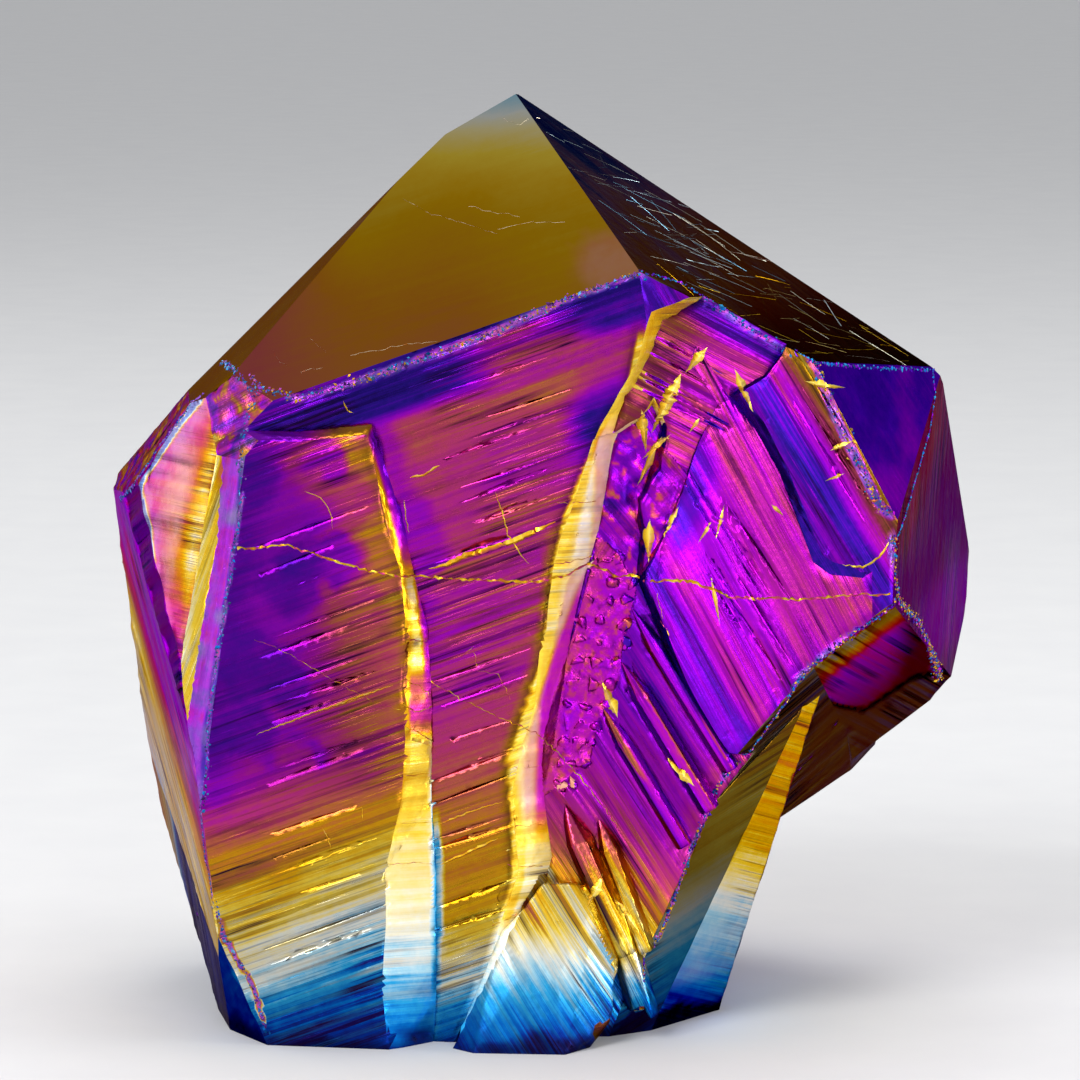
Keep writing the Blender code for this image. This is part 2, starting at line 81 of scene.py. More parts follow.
# Each facet's dark is partly the stone's own tone and partly painted shade and painted reflection: faces that
# would mirror a dark room or turn from the lamps are drawn darker, and a face that would mirror a lamp is
# drawn lighter.
LOOKS = {
    # the polished point
    "gold cap": look((-29.5, 42.8, 42.6), lean=18, tint_lean=0, zero=-10, swing=0.008, grain=0.1,
        rough=0.12, dark=0.6,
        film=[(78, 0.56), (84, 0.53), (91, 0.5), (98, 0.465), (104, 0.44), (108, 0.38), (111, 0.29),
        (114, 0.22)]),
    "dark cap": look((60.5, 54.5, 44.3), lean=-38, tint_lean=0, zero=20, swing=0.03, grain=0.25, rough=0.16,
        dark=[(78, 0.93), (86, 0.9), (92, 0.85)],
        film=[(72, 0.37), (84, 0.355), (90, 0.34), (96, 0.32), (102, 0.29), (108, 0.26)]),
    "rose sliver": look((-75, 44.8, 44.2), lean=40, swing=0.03, grain=0.3, rough=0.16, dark=0.45,
        film=[(80, 0.66), (92, 0.56), (104, 0.48), (112, 0.4)]),
    "tip": look((-60, 68.8, 52.3), swing=0.05, grain=0.3, rough=0.2, dark=0.5, film=0.22),
    "left cap": look((-96.5, 44.8, 41.6), side=LEFT, lean=12, swing=0.02, grain=0.15, rough=0.14, dark=0.62,
        film=[(70, 0.8), (86, 0.68), (98, 0.53), (112, 0.4)]),
    "far left cap": look((-140, 47, 36), side=BACK, lean=-8, swing=0.02, grain=0.15, rough=0.14, dark=0.68,
        film=[(76, 0.6), (92, 0.52), (104, 0.45), (114, 0.3)]),
    "back cap": look((178, 42, 30.2), side=BACK, lean=4, swing=0.015, grain=0.15, rough=0.13, dark=0.55,
        film=[(72, 0.93), (84, 0.8), (96, 0.68), (106, 0.54), (114, 0.4)]),
    "right cap": look((123, 50.4, 36.9), side=BACK, lean=12, swing=0.02, grain=0.15, rough=0.14, dark=0.7,
        film=[(70, 0.57), (90, 0.48), (104, 0.4), (114, 0.24)]),
    # the growth plates on the front
    "first plate": look((-9, 0, 35.6), lean=21, zero=-27, swing=0.13, grain=0.35, ribs=0.16, dark=0.38,
        film=[(0, 0.05), (4, 0.1), (8, 0.16), (10.5, 0.25), (13, 0.31), (16.5, 0.36), (20, 0.43), (25, 0.5),
        (29, 0.56), (32, 0.64), (36, 0.73), (44, 0.76), (60, 0.8), (76, 0.78)]),
    "second plate": look((-9, -2.5, 33.2), lean=21, zero=-6, swing=0.13, grain=0.35, rough=0.28, ribs=0.16,
        dark=0.42,
        film=[(0, 0.05), (4, 0.11), (7, 0.16), (9.5, 0.26), (12, 0.36), (15.5, 0.45), (21, 0.49),
        (27, 0.53), (32, 0.57), (38, 0.63), (46, 0.66), (54, 0.69), (60, 0.67), (66, 0.71), (72, 0.66),
        (78, 0.62), (84, 0.68)]),
    "upper hollow": look((3, -1, 33), lean=-28, zero=14, swing=0.12, grain=0.4, rough=0.32, ribs=0.2,
        dark=0.38,
        film=[(60, 0.76), (70, 0.75), (80, 0.72), (90, 0.77), (96, 0.86)]),
    "lower hollow": look((0, -3, 29.5), lean=-58, tint_lean=-25, zero=12, swing=0.17, grain=0.3, ribs=0.34,
        dark=0.45,
        film=[(4, 0.14), (8, 0.3), (12, 0.43), (17, 0.54), (22, 0.66), (28, 0.76), (36, 0.78), (46, 0.84),
        (58, 0.84)]),
    "fourth plate": look((6, 1, 34.6), lean=-62, zero=24, swing=0.085, grain=0.25, rough=0.26, ribs=0.16,
        dark=0.14,
        film=[(30, 0.81), (60, 0.79), (95, 0.77)]),
    "fifth plate": look((14, 1, 39.3), lean=-59, zero=30, swing=0.11, grain=0.3, ribs=0.2,
        dark=[(60, 0.45), (61.5, 0.5), (62.6, 0.5), (63, 0), (64.4, 0), (65, 0.2), (66.8, 0.3),
        (67.4, 0.68)],
        film=[(59, 0.9), (61, 0.84), (62.2, 0.88), (62.8, 0.92), (64.4, 0.92), (65, 0.8), (66.8, 0.74),
        (67.4, 0.64), (68.2, 0.6), (69.5, 0.5)]),
    # the left flank
    "corner chip": look((-38.5, 24, 46.5), lean=30, swing=0.12, grain=1, rough=0.36, lumps=0.4, pale=0.06,
        dark=0.3, film=0.76),
    "seam strip": look((-24, 2, 42.5), lean=80, swing=0.05, grain=1, rough=0.34, lumps=0.2,
        film=[(-0.4, 0.88), (-0.1, 0.84), (0.1, 0.79), (0.4, 0.75)]),
    "gold hatch": look((-40, 4.5, 46.9), lean=70, zero=-40, swing=0.08, grain=0.4, rough=0.28, ribs=0.14,
        film=[(30, 0.56), (40, 0.47), (55, 0.43), (68, 0.41), (76, 0.56)]),
    "rose leaf": look((-63, 8, 48.2), side=LEFT, lean=2, grain=0.25, rough=0.28, ribs=0.2, dark=0.32,
        film=[(0, 0.38), (0.08, 0.42), (0.22, 0.52), (0.5, 0.58), (0.75, 0.68), (1, 0.76)]),
    "shoulder": look((-80, 25, 47.8), side=LEFT, lean=35, swing=0.12, grain=1, rough=0.32, ribs=0.1,
        lumps=0.15, dark=0.4,
        film=[(58, 0.8), (64, 0.56), (74, 0.47), (82, 0.54)]),
    "violet hatch": look((-73.5, -2.5, 49.6), side=LEFT, lean=19, tint_lean=-48, swing=0.13, rough=0.32,
        ribs=0.2, dark=0.48,
        film=[(36, 0.56), (42, 0.7), (52, 0.76), (66, 0.78)]),
    "lower flank": look((-77, -7, 49.9), side=LEFT, lean=-40, swing=0.12, grain=0.6, rough=0.34, ribs=0.14,
        film=[(10, 0.26), (20, 0.3), (32, 0.35), (40, 0.4), (46, 0.58), (50, 0.76), (62, 0.79)]),
    "lower bevel": look((-79, -11, 52.2), side=LEFT, lean=70, swing=0.08, grain=0.6, rough=0.34, ribs=0.1,
        dark=0.35,
        film=[(0, 0.03), (12, 0.09), (18, 0.24), (28, 0.38), (46, 0.5)]),
    "foot bevel": look((-58.5, -19, 61.3), lean=60, swing=0.05, grain=0.4, rough=0.24, dark=0.4,
        film=[(0, 0.05), (6, 0.12), (12, 0.16), (22, 0.1)]),
    "heel": look((-112, -38, 62.6), side=LEFT, swing=0.05, grain=0.3, rough=0.35, lumps=0.1, dark=0.6,
        film=0.06),
    # the head on the right
    "indigo": look((54, 20, 50.2), lean=-58, swing=0.03, grain=0.4, rough=0.15, dark=0.36, film=0.915),
    "violet": look((73, -2.5, 49.3), side=RIGHT, lean=85, grain=0.4, rough=0.13, dark=0.45, film=0.75),
    "brow": look((100, 20, 50.3), side=RIGHT, lean=-20, grain=0.4, rough=0.2, dark=0.45,
        film=[(50, 0.78), (66, 0.86), (82, 0.95)]),
    "cheek": look((100, -15, 57.4), side=RIGHT, lean=60, rough=0.24, ribs=0.08, dark=0.4,
        film=[(36, 0.92), (48, 0.84), (60, 0.76)]),
    "jaw": look((110, -28.5, 54), side=RIGHT, lean=50, rough=0.25, ribs=0.08, dark=0.35,
        film=[(32, 0.74), (48, 0.86)]),
    "under head": look((52.5, -42, 42.6), lean=-42, grain=0.2, rough=0.16, ribs=0.05,
        dark=[(0, 0.75), (1.6, 0.55), (2.4, 0.15), (3.6, 0), (5, 0.1), (8, 0.3), (12, 0.6)],
        film=[(0, 0.36), (1.6, 0.39), (2.2, 0.5), (3, 0.58), (3.6, 0.7), (4.6, 0.75), (8, 0.74), (12, 0.64)]),
    "under jaw": look((105, -54.8, 48), side=RIGHT, lean=40, swing=0.08, grain=0.3, rough=0.25, dark=0.6,
        film=0.7),
    # the waist and the foot
    "shelf": look((58.9, -34.3, 44.2), lean=35, swing=0.12, rough=0.2, ribs=0.1, dark=0.8,
        film=[(20, 0.36), (34, 0.34), (48, 0.35)]),
    "brown waist": look((70, -21.3, 44.8), lean=35, swing=0.14, grain=0.6, rough=0.24, ribs=0.1, dark=0.8,
        film=[(20, 0.34), (26, 0.36), (34, 0.4)]),
    "under waist": look((110, -71.4, 43.6), side=RIGHT, swing=0.05, grain=0.3, dark=0.7, film=0.5),
    "olive foot": look((32, -15.3, 41.7), lean=28, zero=20, swing=0.09, grain=0.3, rough=0.22, ribs=0.08,
        dark=[(2, 0.68), (14, 0.8), (20, 0.88), (30, 0.84)],
        film=[(0, 0.07), (6, 0.11), (11, 0.16), (15, 0.23), (18, 0.34), (23, 0.44), (34, 0.47), (42, 0.5)]),
    "gold foot": look((52, -20.9, 44.7), lean=-30, zero=24, swing=0.09, grain=0.3, rough=0.22, ribs=0.08,
        dark=[(18, 0), (24, 0.08)],
        film=[(0, 0.09), (4, 0.15), (8.5, 0.22), (12, 0.26), (15.5, 0.31), (19, 0.39), (25, 0.46),
        (36, 0.52), (42, 0.5)]),
    "foot side": look((95, -14.5, 35.5), side=RIGHT, lean=30, swing=0.06, rough=0.25, ribs=0.06, dark=0.35,
        film=[(0, 0.05), (12, 0.13), (20, 0.28), (30, 0.46), (44, 0.6)]),
    "foot heel": look((130, -12, 37), side=RIGHT, lean=24, grain=0.6, rough=0.32, ribs=0.14, dark=0.25,
        film=[(0, 0.05), (12, 0.2), (22, 0.36), (36, 0.56), (50, 0.72)]),
    # the back
    "back left": look((-122, -6, 50.6), side=LEFT, lean=12, rough=0.32, ribs=0.14, dark=0.25,
        film=[(0, 0.05), (14, 0.2), (26, 0.4), (40, 0.58), (58, 0.72), (74, 0.84)]),
    "far back left": look((-155, -3, 41), side=BACK, lean=15, swing=0.11, grain=0.4, ribs=0.16, dark=0.25,
        film=[(0, 0.06), (12, 0.2), (24, 0.42), (38, 0.6), (56, 0.72), (78, 0.84)]),
    "side floor": look((-155, -5, 37.6), side=BACK, lean=15, swing=0.12, rough=0.32, ribs=0.2, dark=0.3,
        film=[(0, 0.08), (14, 0.28), (26, 0.47), (40, 0.65), (60, 0.78), (84, 0.92)]),
    "far back": look((168, 2, 37), side=BACK, lean=-12, swing=0.11, grain=0.4, rough=0.28, ribs=0.16,
        dark=0.2,
        film=[(40, 0.6), (56, 0.7), (70, 0.78), (80, 0.9), (84, 0.97)]),
    "back floor": look((168, -1, 33.4), side=BACK, lean=-12, swing=0.13, rough=0.32, ribs=0.2, dark=0.25,
        film=[(0, 0.06), (9, 0.16), (15, 0.28), (24, 0.42), (34, 0.54), (46, 0.68), (62, 0.78)]),
    "back right": look((140, -6, 43.5), side=RIGHT, lean=24, swing=0.11, ribs=0.16, dark=0.25,
        film=[(0, 0.06), (14, 0.2), (26, 0.4), (42, 0.6), (60, 0.74), (78, 0.9)]),
    "base": look((0, -90, 60), swing=0, grain=0.8, rough=0.55, dark=0.7, film=0.9),
    # what is broken or grown and has no plane of its own
    "first riser": look(lean=-3, zero=-15, swing=0.06, grain=0.3, rough=0.24, ribs=0.22, lumps=0.04,
        matt=0.4,
        film=[(0, 0.11), (4, 0.14), (6.5, 0.2), (9, 0.25), (12, 0.28), (16, 0.32), (22, 0.36), (27, 0.4),
        (36, 0.41), (38.2, 0.4), (38.5, 0.56), (39.6, 0.57), (40, 0.68), (42.4, 0.64), (42.8, 0.52),
        (43.3, 0.6), (45, 0.62), (46, 0.42), (50, 0.39), (56.5, 0.38), (58.5, 0.5), (60, 0.7), (70, 0.74),
        (73.5, 0.48), (77, 0.48)]),
    "second riser": look(lean=-4, zero=2, swing=0.07, grain=0.35, ribs=0.22, lumps=0.12, matt=0.85,
        film=[(0, 0.14), (4, 0.2), (8, 0.27), (12, 0.29), (16, 0.33), (22, 0.38), (30, 0.41), (36, 0.42),
        (46, 0.42), (55, 0.38), (60, 0.33), (72, 0.34), (78, 0.41), (84, 0.44), (92, 0.47)]),
    "fourth riser": look(lean=-60, swing=0.04, rough=0.26, lumps=0.1, dark=0.2, film=0.91),
    "fifth riser": look(lean=-59, swing=0.06, grain=0.6, rough=0.28, lumps=0.12, dark=0.1, film=0.95),
    "riser": look(lean=-50, rough=0.28, lumps=0.12, dark=0.2, film=0.82),
    "back riser": look(side=BACK, swing=0.06, rough=0.26, lumps=0.2, dark=0.3,
        film=[(0, 0.14), (10, 0.27), (25, 0.38), (40, 0.46), (60, 0.56)]),
    "rough zone": look(lean=60, swing=0.08, grain=1, lumps=0.16, dark=0.25, film=0.74),
    "broken hollow": look(lean=-50, grain=0.8, lumps=0.3, dark=0.4, film=0.78),
    "fan": look(lean=-57, tint_lean=0, swing=0.14, grain=0.3, rough=0.42, ribs=0.25, matt=0.3, dark=0.42,
        film=[(0, 0.07), (3.5, 0.12), (6.5, 0.18), (8.5, 0.23), (10.5, 0.29), (12.5, 0.34), (15, 0.42),
        (22, 0.53)]),
    "gold blades": look(lean=-64, tint_lean=0, swing=0.12, grain=0.6, ribs=0.2, dark=0.25,
        film=[(2, 0.1), (7, 0.2), (10, 0.38), (14, 0.46), (18, 0.5), (22, 0.58), (26, 0.62), (30, 0.7)]),
    "violet blades": look(lean=-60, swing=0.13, grain=0.3, rough=0.26, ribs=0.12, dark=0.15),
    "lip": look(swing=0.06, grain=0.9, rough=0.4, lumps=0.2, dark=0.9, film=0.58),
}
NAMES = list(LOOKS)
PLANES = [name for name in NAMES if LOOKS[name]["facet"]]
SAME_WAY = math.cos(math.radians(4))    # a face this near to a facet's direction may belong to it
SAME_PLACE = 0.15                       # and then lies this near to its plane, in mm
GROOVE_DEPTH = 0.9                      # the carved growth lines are no deeper than this
FRONT_DEPTH, BACK_DEPTH = -20, 15       # what is broken in front lies before one, the back behind the other
RISER_REACH, RISER_WIDTH = 6, 1.4       # how far from its line a riser's faces and its grooves may lie
GOLD_REACH, VIOLET_REACH = 2.1, 1.7     # half widths of the blades
GOLD_DEPTH = -26                        # the gold blades stand at least this far forward
STRIP_WIDTH = 2.6                       # of the crumbled strip along the front's left edge
BROKEN_AT_FOOT = ("olive foot", "gold foot", "gold blades", "lower hollow", "fan", "lip", "riser")
BIG_LUMPS = ("rough zone", "broken hollow", "corner chip")
# The plates whose larger growth lines are carved in the solid
GROOVED = ("first plate", "second plate", "upper hollow", "fourth plate", "fifth plate", "rose leaf",
    "far back", "back floor", "side floor", "back right")

# Lines on the front in (across, up). A riser is a step in the growth plates, between the brink
# at its top and its foot, and the leaf, the hatch and the strip lie on the left flank.
RISERS = {
    "first riser": [(-36, 74), (-28.5, 74), (-20, 74.5), (-18.7, 70), (-16.5, 63), (-15.5, 57.5),
        (-14.3, 50), (-14.2, 40), (-14.5, 30), (-15.3, 21), (-15.8, 12), (-16, -2)],
    "second riser": [(20, 95), (15, 90), (12.5, 87.5), (11, 81), (9, 77.5), (6.5, 72), (5.5, 66), (4.5, 60),
        (3, 54), (1.5, 48.5), (-1, 41), (-2, 34), (-1.5, 26.5), (-2.5, 20.5), (-3.5, 15), (-5.5, 9),
        (-8.5, 1.5)],
    "fourth riser": [(29, 84), (27, 81), (23.5, 79), (21.5, 77.5), (19.5, 72.5), (18, 68), (16, 63),
        (13, 57.5), (14.5, 53.5), (18, 45), (20.5, 40.5), (23, 36.5)],
    "fifth riser": [(20, 86), (23.5, 79.5), (26.5, 76), (29.5, 70), (33.5, 60), (35, 59), (38, 58.5),
        (40.5, 60), (42, 63)],
}
FIRST_BRINK = [(-20.5, 74.5), (-18.5, 66.5), (-16.5, 58.5), (-15.5, 50), (-16, 42.5), (-16, 35.5),
    (-17, 30.5), (-18, 24.5), (-18.7, 18.5), (-18.7, 11), (-19, 2.5)]
FIRST_FOOT = [(-19, 74), (-16, 66), (-14.3, 58), (-13.3, 49.5), (-12.8, 40), (-12.7, 32), (-12.3, 22),
    (-12.3, 13), (-12.8, 0)]
SECOND_BRINK = [(11.5, 87.5), (10, 80), (7.5, 76.5), (4.5, 69.5), (2.5, 64.5), (1.5, 59.5), (1, 54.5),
    (0, 47.5), (-2.5, 40), (-4, 35), (-3.5, 26.5), (-3.5, 20.5), (-5, 15.5), (-7, 9), (-10.5, 1)]
SECOND_FOOT = [(17.5, 92), (13.5, 87), (12, 82), (10, 77.5), (7.5, 74), (7.5, 66.5), (7, 60), (5, 54),
    (3, 49), (1, 42), (0.5, 33.5), (0.5, 26), (0, 20), (-2, 14)]
CAP_LINE = [(-35, 80), (-28.5, 78.5), (-16.5, 82.5), (-7, 86), (2.5, 90.5), (11.5, 94), (16.5, 92.5),
    (23.5, 88), (32.5, 83)]
FRONT_LEFT_EDGE = [(-35, 73.5), (-36, 61), (-37.5, 53), (-40, 38), (-40.5, 23), (-38.5, 13), (-33, 1)]
WAIST_LINE = [(42.5, 54), (36.5, 49.5), (31, 45), (27.5, 39), (21.5, 31.5), (18.5, 24), (16, 17), (13, 10)]
# dark-blue patches on the first plate: across, up and size
BLUE_CLOUDS = [(-26, 60, 6), (-29, 56, 5), (-34, 46, 6), (-30, 44, 4), (-36, 38, 5), (-25, 70, 4),
    (-34, 68, 4), (-27, 37, 3.5)]
GOLD_HATCH_EDGE = [(-37.5, 79), (-38.5, 74), (-40.5, 66), (-42, 58.5), (-43, 47)]
LEAF_OUTER_EDGE = [(-41, 77.5), (-43.5, 74.5), (-49.5, 65.5), (-48, 60.5), (-47, 52.5), (-44, 46)]
ROUGH_BAND = (15, 76, -0.9, 0.22, 5.2)      # from and to height, middle at its foot, lean, half width
BROKEN_HOLLOW = [(8, 74.5), (11, 75.5), (15, 72.5), (18.5, 68.5), (16, 63), (13, 57.5), (9, 57), (6, 61),
    (7, 68)]
ROUGH_ZONE = [(7.5, 61.5), (9.5, 59.5), (11.5, 55.5), (10, 49.5), (9.5, 44.5), (7, 39.5), (6, 34.5),
    (3.5, 32.5), (0.5, 30), (0, 36), (2.5, 46), (4.5, 58), (6, 62)]
# top of the bare broken stone under the fan and the foot
BROKEN_FOOT = [(7.5, -1.5), (9.5, 1), (11, 2.6), (12.6, 3), (14, 1.8), (15, 2.6), (17, 2.8), (19, 1.8),
    (21, 1), (24, 0.5), (28, -1.5)]
UNDER_HEAD_FOOT = [(33, 41.5), (36.7, 38.9), (40.2, 36.9), (46.5, 40.4)]
VIOLET_EDGE = [(48, 80), (47.5, 73), (44, 64), (42, 60.5)]
VIOLET_BLADES = [[(10.8, 53.5), (23, 33.5)], [(9.5, 47), (20.5, 28.5)], [(7.5, 41), (17.5, 24)]]
GOLD_BLADES = [[(3, 29), (10.5, 11)], [(7, 27.5), (12.8, 11)], [(8.2, 20), (12.6, 3)]]

# Broken seams between the faces: kind, width, and places (x, y, z)
SEAMS = [
    ("cap", 0.8, [(-34.5, -25, 80.5), (-33, -27.5, 79), (-28.5, -30, 78.5), (-23.5, -31, 80),
        (-16.5, -32, 82.5), (-7, -33.5, 86), (2.5, -35.5, 90.5), (11.5, -37, 94)]),
    ("dark", 0.7, [(11.5, -37, 94), (16.5, -33, 92.5), (23.5, -32.5, 88), (28.5, -32, 84.5),
        (32.5, -32, 83)]),
    ("head", 1.1, [(32.5, -32, 83), (35, -31.5, 76.5), (37, -31, 72.5), (40.5, -30.5, 65.5),
        (42, -30, 64.5)]),
    ("head", 1, [(42, -30, 62), (42.5, -29, 56), (43.5, -26.5, 53.5), (46.5, -15, 49), (49, -6, 43.5),
        (50.5, 2, 39)]),
    ("dark", 0.4, [(32.5, -32, 83), (37, -26.5, 82), (42, -20, 81), (47.5, -13, 80)]),
    ("dark", 0.3, [(48, -12.4, 80), (47.5, -15.5, 73), (44, -26, 64), (42, -30, 61)]),
    ("waist", 1, [(42.5, -29, 54), (36.5, -31, 49.5), (33.5, -31.5, 47), (31, -32, 45)]),
    ("waist", 0.5, [(31, -32, 45), (27.5, -30.5, 39), (21.5, -28, 31.5), (18.5, -27.5, 24),
        (16.5, -27, 18.5), (14.5, -26.5, 12.5), (12, -29.5, 7.5)]),
    ("left", 0.5, [(-35, -28.5, 74.5), (-35.5, -30.5, 66.5), (-37, -30, 56.5), (-39.5, -29.5, 42),
        (-40, -29.5, 32.5), (-40.5, -28, 23.5), (-38, -30, 13), (-34.5, -30.5, 7), (-33, -31, 1.5)]),
    ("left", 0.9, [(-38.5, -15, 81), (-36.5, -23.5, 81), (-34.5, -28, 78.5), (-35.5, -28, 75.5)]),
    ("left", 0.4, [(-53, 4, 61.5), (-50, -5.5, 65), (-48, -9.5, 68.5), (-43.5, -17, 74.5),
        (-41, -20.5, 78)]),
]
SEAMS_END = 10      # there are none farther back than this
GRAINS_PER_STEP = {"cap": 2, "dark": 1, "head": 2, "waist": 2, "left": 1}
SEAM_FILMS = {      # film and paleness of the grains on each kind of seam
    "cap": [(0.8, 0.2), (0.84, 0.1), (0.12, 0), (0.16, 0.1), (0.73, 0.15), (0.46, 0)],
    "dark": [(0.12, 0), (0.84, 0), (0.16, 0), (0.92, 0)],
    "head": [(0.11, 0), (0.14, 0), (0.46, 0), (0.42, 0), (0.55, 0), (0.74, 0), (0.92, 0)],
    "waist": [(0.1, 0), (0.15, 0), (0.45, 0), (0.74, 0.2), (0.92, 0), (0.88, 0)],
    "left": [(0.84, 0.25), (0.12, 0), (0.16, 0.1), (0.88, 0.1)],
}
CRACKS = [          # healed cracks across the front: width and places
    (0.3, [(-36, 60.5), (-30, 61), (-25, 59.5), (-20, 58), (-16.5, 57.5), (-10.5, 57), (0, 57), (3, 57.5),
        (6, 58.5), (9.5, 57), (13, 57), (18, 57), (22.5, 55), (31, 54.5), (38, 55), (42, 55)]),
    (0.16, [(-13, 44.5), (-9.5, 42.5), (-5, 40.5), (-0.5, 38.5), (2.5, 35), (6, 31), (9.5, 26)]),
    (0.12, [(-34, 49.5), (-30, 48), (-24, 44.5), (-20, 42.5), (-16.5, 41.5)]),
    (0.14, [(14, 55.5), (14.5, 52), (15.5, 50.5)]),
    (0.12, [(-9.5, 47.5), (-8, 49), (-7.5, 46), (-5, 45.5), (-3.5, 42.5)]),
    (0.16, [(-16, 50), (-13.6, 49.6)]),
    (0.14, [(-16.2, 45.2), (-14.6, 44.2), (-13.2, 43)]),
    (0.2, [(-16.2, 42.2), (-14.8, 41.2), (-13, 41.4)]),
    (0.2, [(-16.4, 39.6), (-14.6, 38.6), (-13, 37.2)]),
    (0.14, [(-17, 33.6), (-13, 33.2)]),
    (0.1, [(-17.6, 27.6), (-12.8, 27.2)]),
    (0.1, [(-18.6, 22.8), (-12.8, 22.2)]),
    (0.12, [(2, 66.6), (6.6, 66.2)]),
    (0.14, [(0.8, 59.2), (3.5, 59), (6.2, 59.6)]),
    (0.1, [(-3.4, 34.4), (0.2, 34)]),
    (0.1, [(-3.6, 27), (0.4, 26.6)]),
    (0.12, [(-3.8, 22.4), (0.2, 21.4)]),
    (0.12, [(-5.6, 14.8), (-2.6, 16)]),
]
LEDGE_LINES = [     # bright steps in the growth lines: width, height, places
    (0.75, 0.35, [(-13.3, 58.2), (-11.5, 58.6), (-8.5, 60), (-2.5, 62), (1.8, 64.2)]),
    (0.45, 0.2, [(-12, 22), (-8.5, 23.8), (-5, 25.5)]),
    (0.35, 0.15, [(-12.2, 27), (-8, 28.8), (-4.5, 30)]),
    (0.3, 0.15, [(-34, 38), (-28, 40.5), (-17.5, 44.5)]),
    (0.45, 0.2, [(-15.4, 69.2), (-13.8, 69.5), (-11.8, 70.7)]),
    (0.25, 0.15, [(-23.3, 78.2), (-22.9, 77.2), (-22.2, 76.8)]),
    (0.3, 0.15, [(-5.3, 67.5), (-4.4, 65), (-3.8, 62.5), (-2.2, 60), (-1.2, 59)]),
    (0.22, 0.12, [(-16.2, 66.5), (-15.9, 64), (-15.6, 62.5)]),
    (0.2, 0.12, [(-28, 67.5), (-26, 66.8), (-24.8, 64.8), (-24.6, 63)]),
    (0.2, 0.12, [(-26, 27), (-25.4, 25.4), (-25, 24)]),
    (0.2, 0.12, [(-22.5, 29), (-21.3, 29.6), (-21.2, 28)]),
    (0.4, 0.2, [(36, 58.7), (38.5, 58.3), (40.5, 59.4), (41.6, 61.2)]),
]
CHIPS = [           # raised leaf-shaped flakes: tip, root, width and height
    ((19.8, 84.8), (17.2, 81.8), 1.5, 0.6), ((16.8, 82), (13.2, 74.2), 2, 0.8),
    ((12, 77.5), (12.6, 72), 1.5, 0.6), ((14.6, 74.2), (11.6, 68), 1.3, 0.6),
    ((23, 82.3), (25.2, 77.2), 1.3, 0.6), ((13, 64.4), (12.9, 59.2), 1.6, 0.6),
    ((15.5, 74.5), (12.2, 71.2), 1.1, 0.5), ((19, 76.5), (17.6, 74.6), 0.7, 0.3),
    ((21.9, 66), (20.8, 61.8), 0.6, 0.3), ((20.4, 64.2), (18.8, 61.4), 0.6, 0.3),
    ((20.3, 57.6), (21.4, 51.6), 0.7, 0.3), ((18.6, 31.6), (15.2, 35), 1.3, 0.5),
    ((9.4, 39.6), (7.4, 44.4), 1.6, 0.5), ((31.2, 80.8), (36.4, 79.6), 1, 0.5),
    ((34.4, 72.4), (37.2, 73.6), 0.8, 0.4), ((36.2, 69.6), (33.8, 68.8), 0.6, 0.3),
    ((27.5, 66), (29, 64.5), 0.7, 0.3), ((16.5, 66), (14.6, 62), 0.8, 0.4),
    ((12, 13.5), (9.2, 17.5), 1.3, 0.5), ((10.8, 10.6), (9, 14.5), 1, 0.4),
    ((7.6, 20.8), (5.6, 16.6), 1.4, 0.5),
]
CAP_SCRATCHES = [   # thin pale strokes on the gold face of the point
    [(-16.5, -14, 101), (-13.5, -17, 99.5), (-8.5, -21, 98.5), (-5, -24, 97.5)],
    [(-5, -23.5, 98), (-1, -24.5, 99), (3, -26.5, 99)],
    [(-8.5, -19, 100.5), (-5, -21.5, 99.8), (-2.5, -23, 99.5)],
    [(-4.5, -10.5, 110.5), (-2.5, -12.5, 110), (0, -11, 110.5)],
    [(-32, -23.5, 83.5), (-31.2, -25.5, 82.4), (-30, -26.5, 82)],
    [(-28.5, -28, 81.5), (-26, -28.5, 82)],
    [(-27.5, -24.5, 85), (-26, -26.2, 84), (-25.5, -27, 83.5)],
    [(-22.5, -29, 83.5), (-16.5, -31, 85), (-12, -32.5, 85.5)],
]


def outward(facing, tilt):
    """Unit vector that a facet with this facing and tilt points along."""
    round_angle, up_angle = math.radians(facing), math.radians(tilt)
    level = math.cos(up_angle)
    return np.array((math.sin(round_angle) * level, -math.cos(round_angle) * level, math.sin(up_angle)))


def seen_across(places, side):
    """How far right each place lies for someone who faces that side."""
    turn = math.radians(side)
    return places[:, 0] * math.cos(turn) + places[:, 1] * math.sin(turn)


def gap_to_line(across, up, line):
    """Distance from each point to a line of corners, in mm."""
    best = np.full(len(across), FAR)
    for (x0, z0), (x1, z1) in zip(line, line[1:]):
        length = (x1 - x0) ** 2 + (z1 - z0) ** 2
        share = np.clip(((across - x0) * (x1 - x0) + (up - z0) * (z1 - z0)) / length, 0, 1)
        best = np.minimum(best, np.hypot(across - x0 - share * (x1 - x0), up - z0 - share * (z1 - z0)))
    return best


def read_stops(level, stops):
    """The value at each level, between stops of (level, value)."""
    return np.interp(level, *zip(*stops))


def past_line(across, up, line):
    """How far right of a line that runs downward each point lies."""
    return across - read_stops(up, [(height, place) for place, height in reversed(line)])


def inside(across, up, outline):
    """True for each point that lies inside a closed outline."""
    result = np.zeros(len(across), bool)
    for (x0, z0), (x1, z1) in zip(outline, outline[1:] + outline[:1]):
        if z0 != z1:
            crosses = ((z0 > up) != (z1 > up)) & (across < (x1 - x0) * (up - z0) / (z1 - z0) + x0)
            result ^= crosses
    return result


def smooth(low, high, value):
    """0 at low and beyond, 1 at high and beyond, and an easy curve between."""
    share = np.clip((value - low) / (high - low), 0, 1)
    return share * share * (3 - 2 * share)


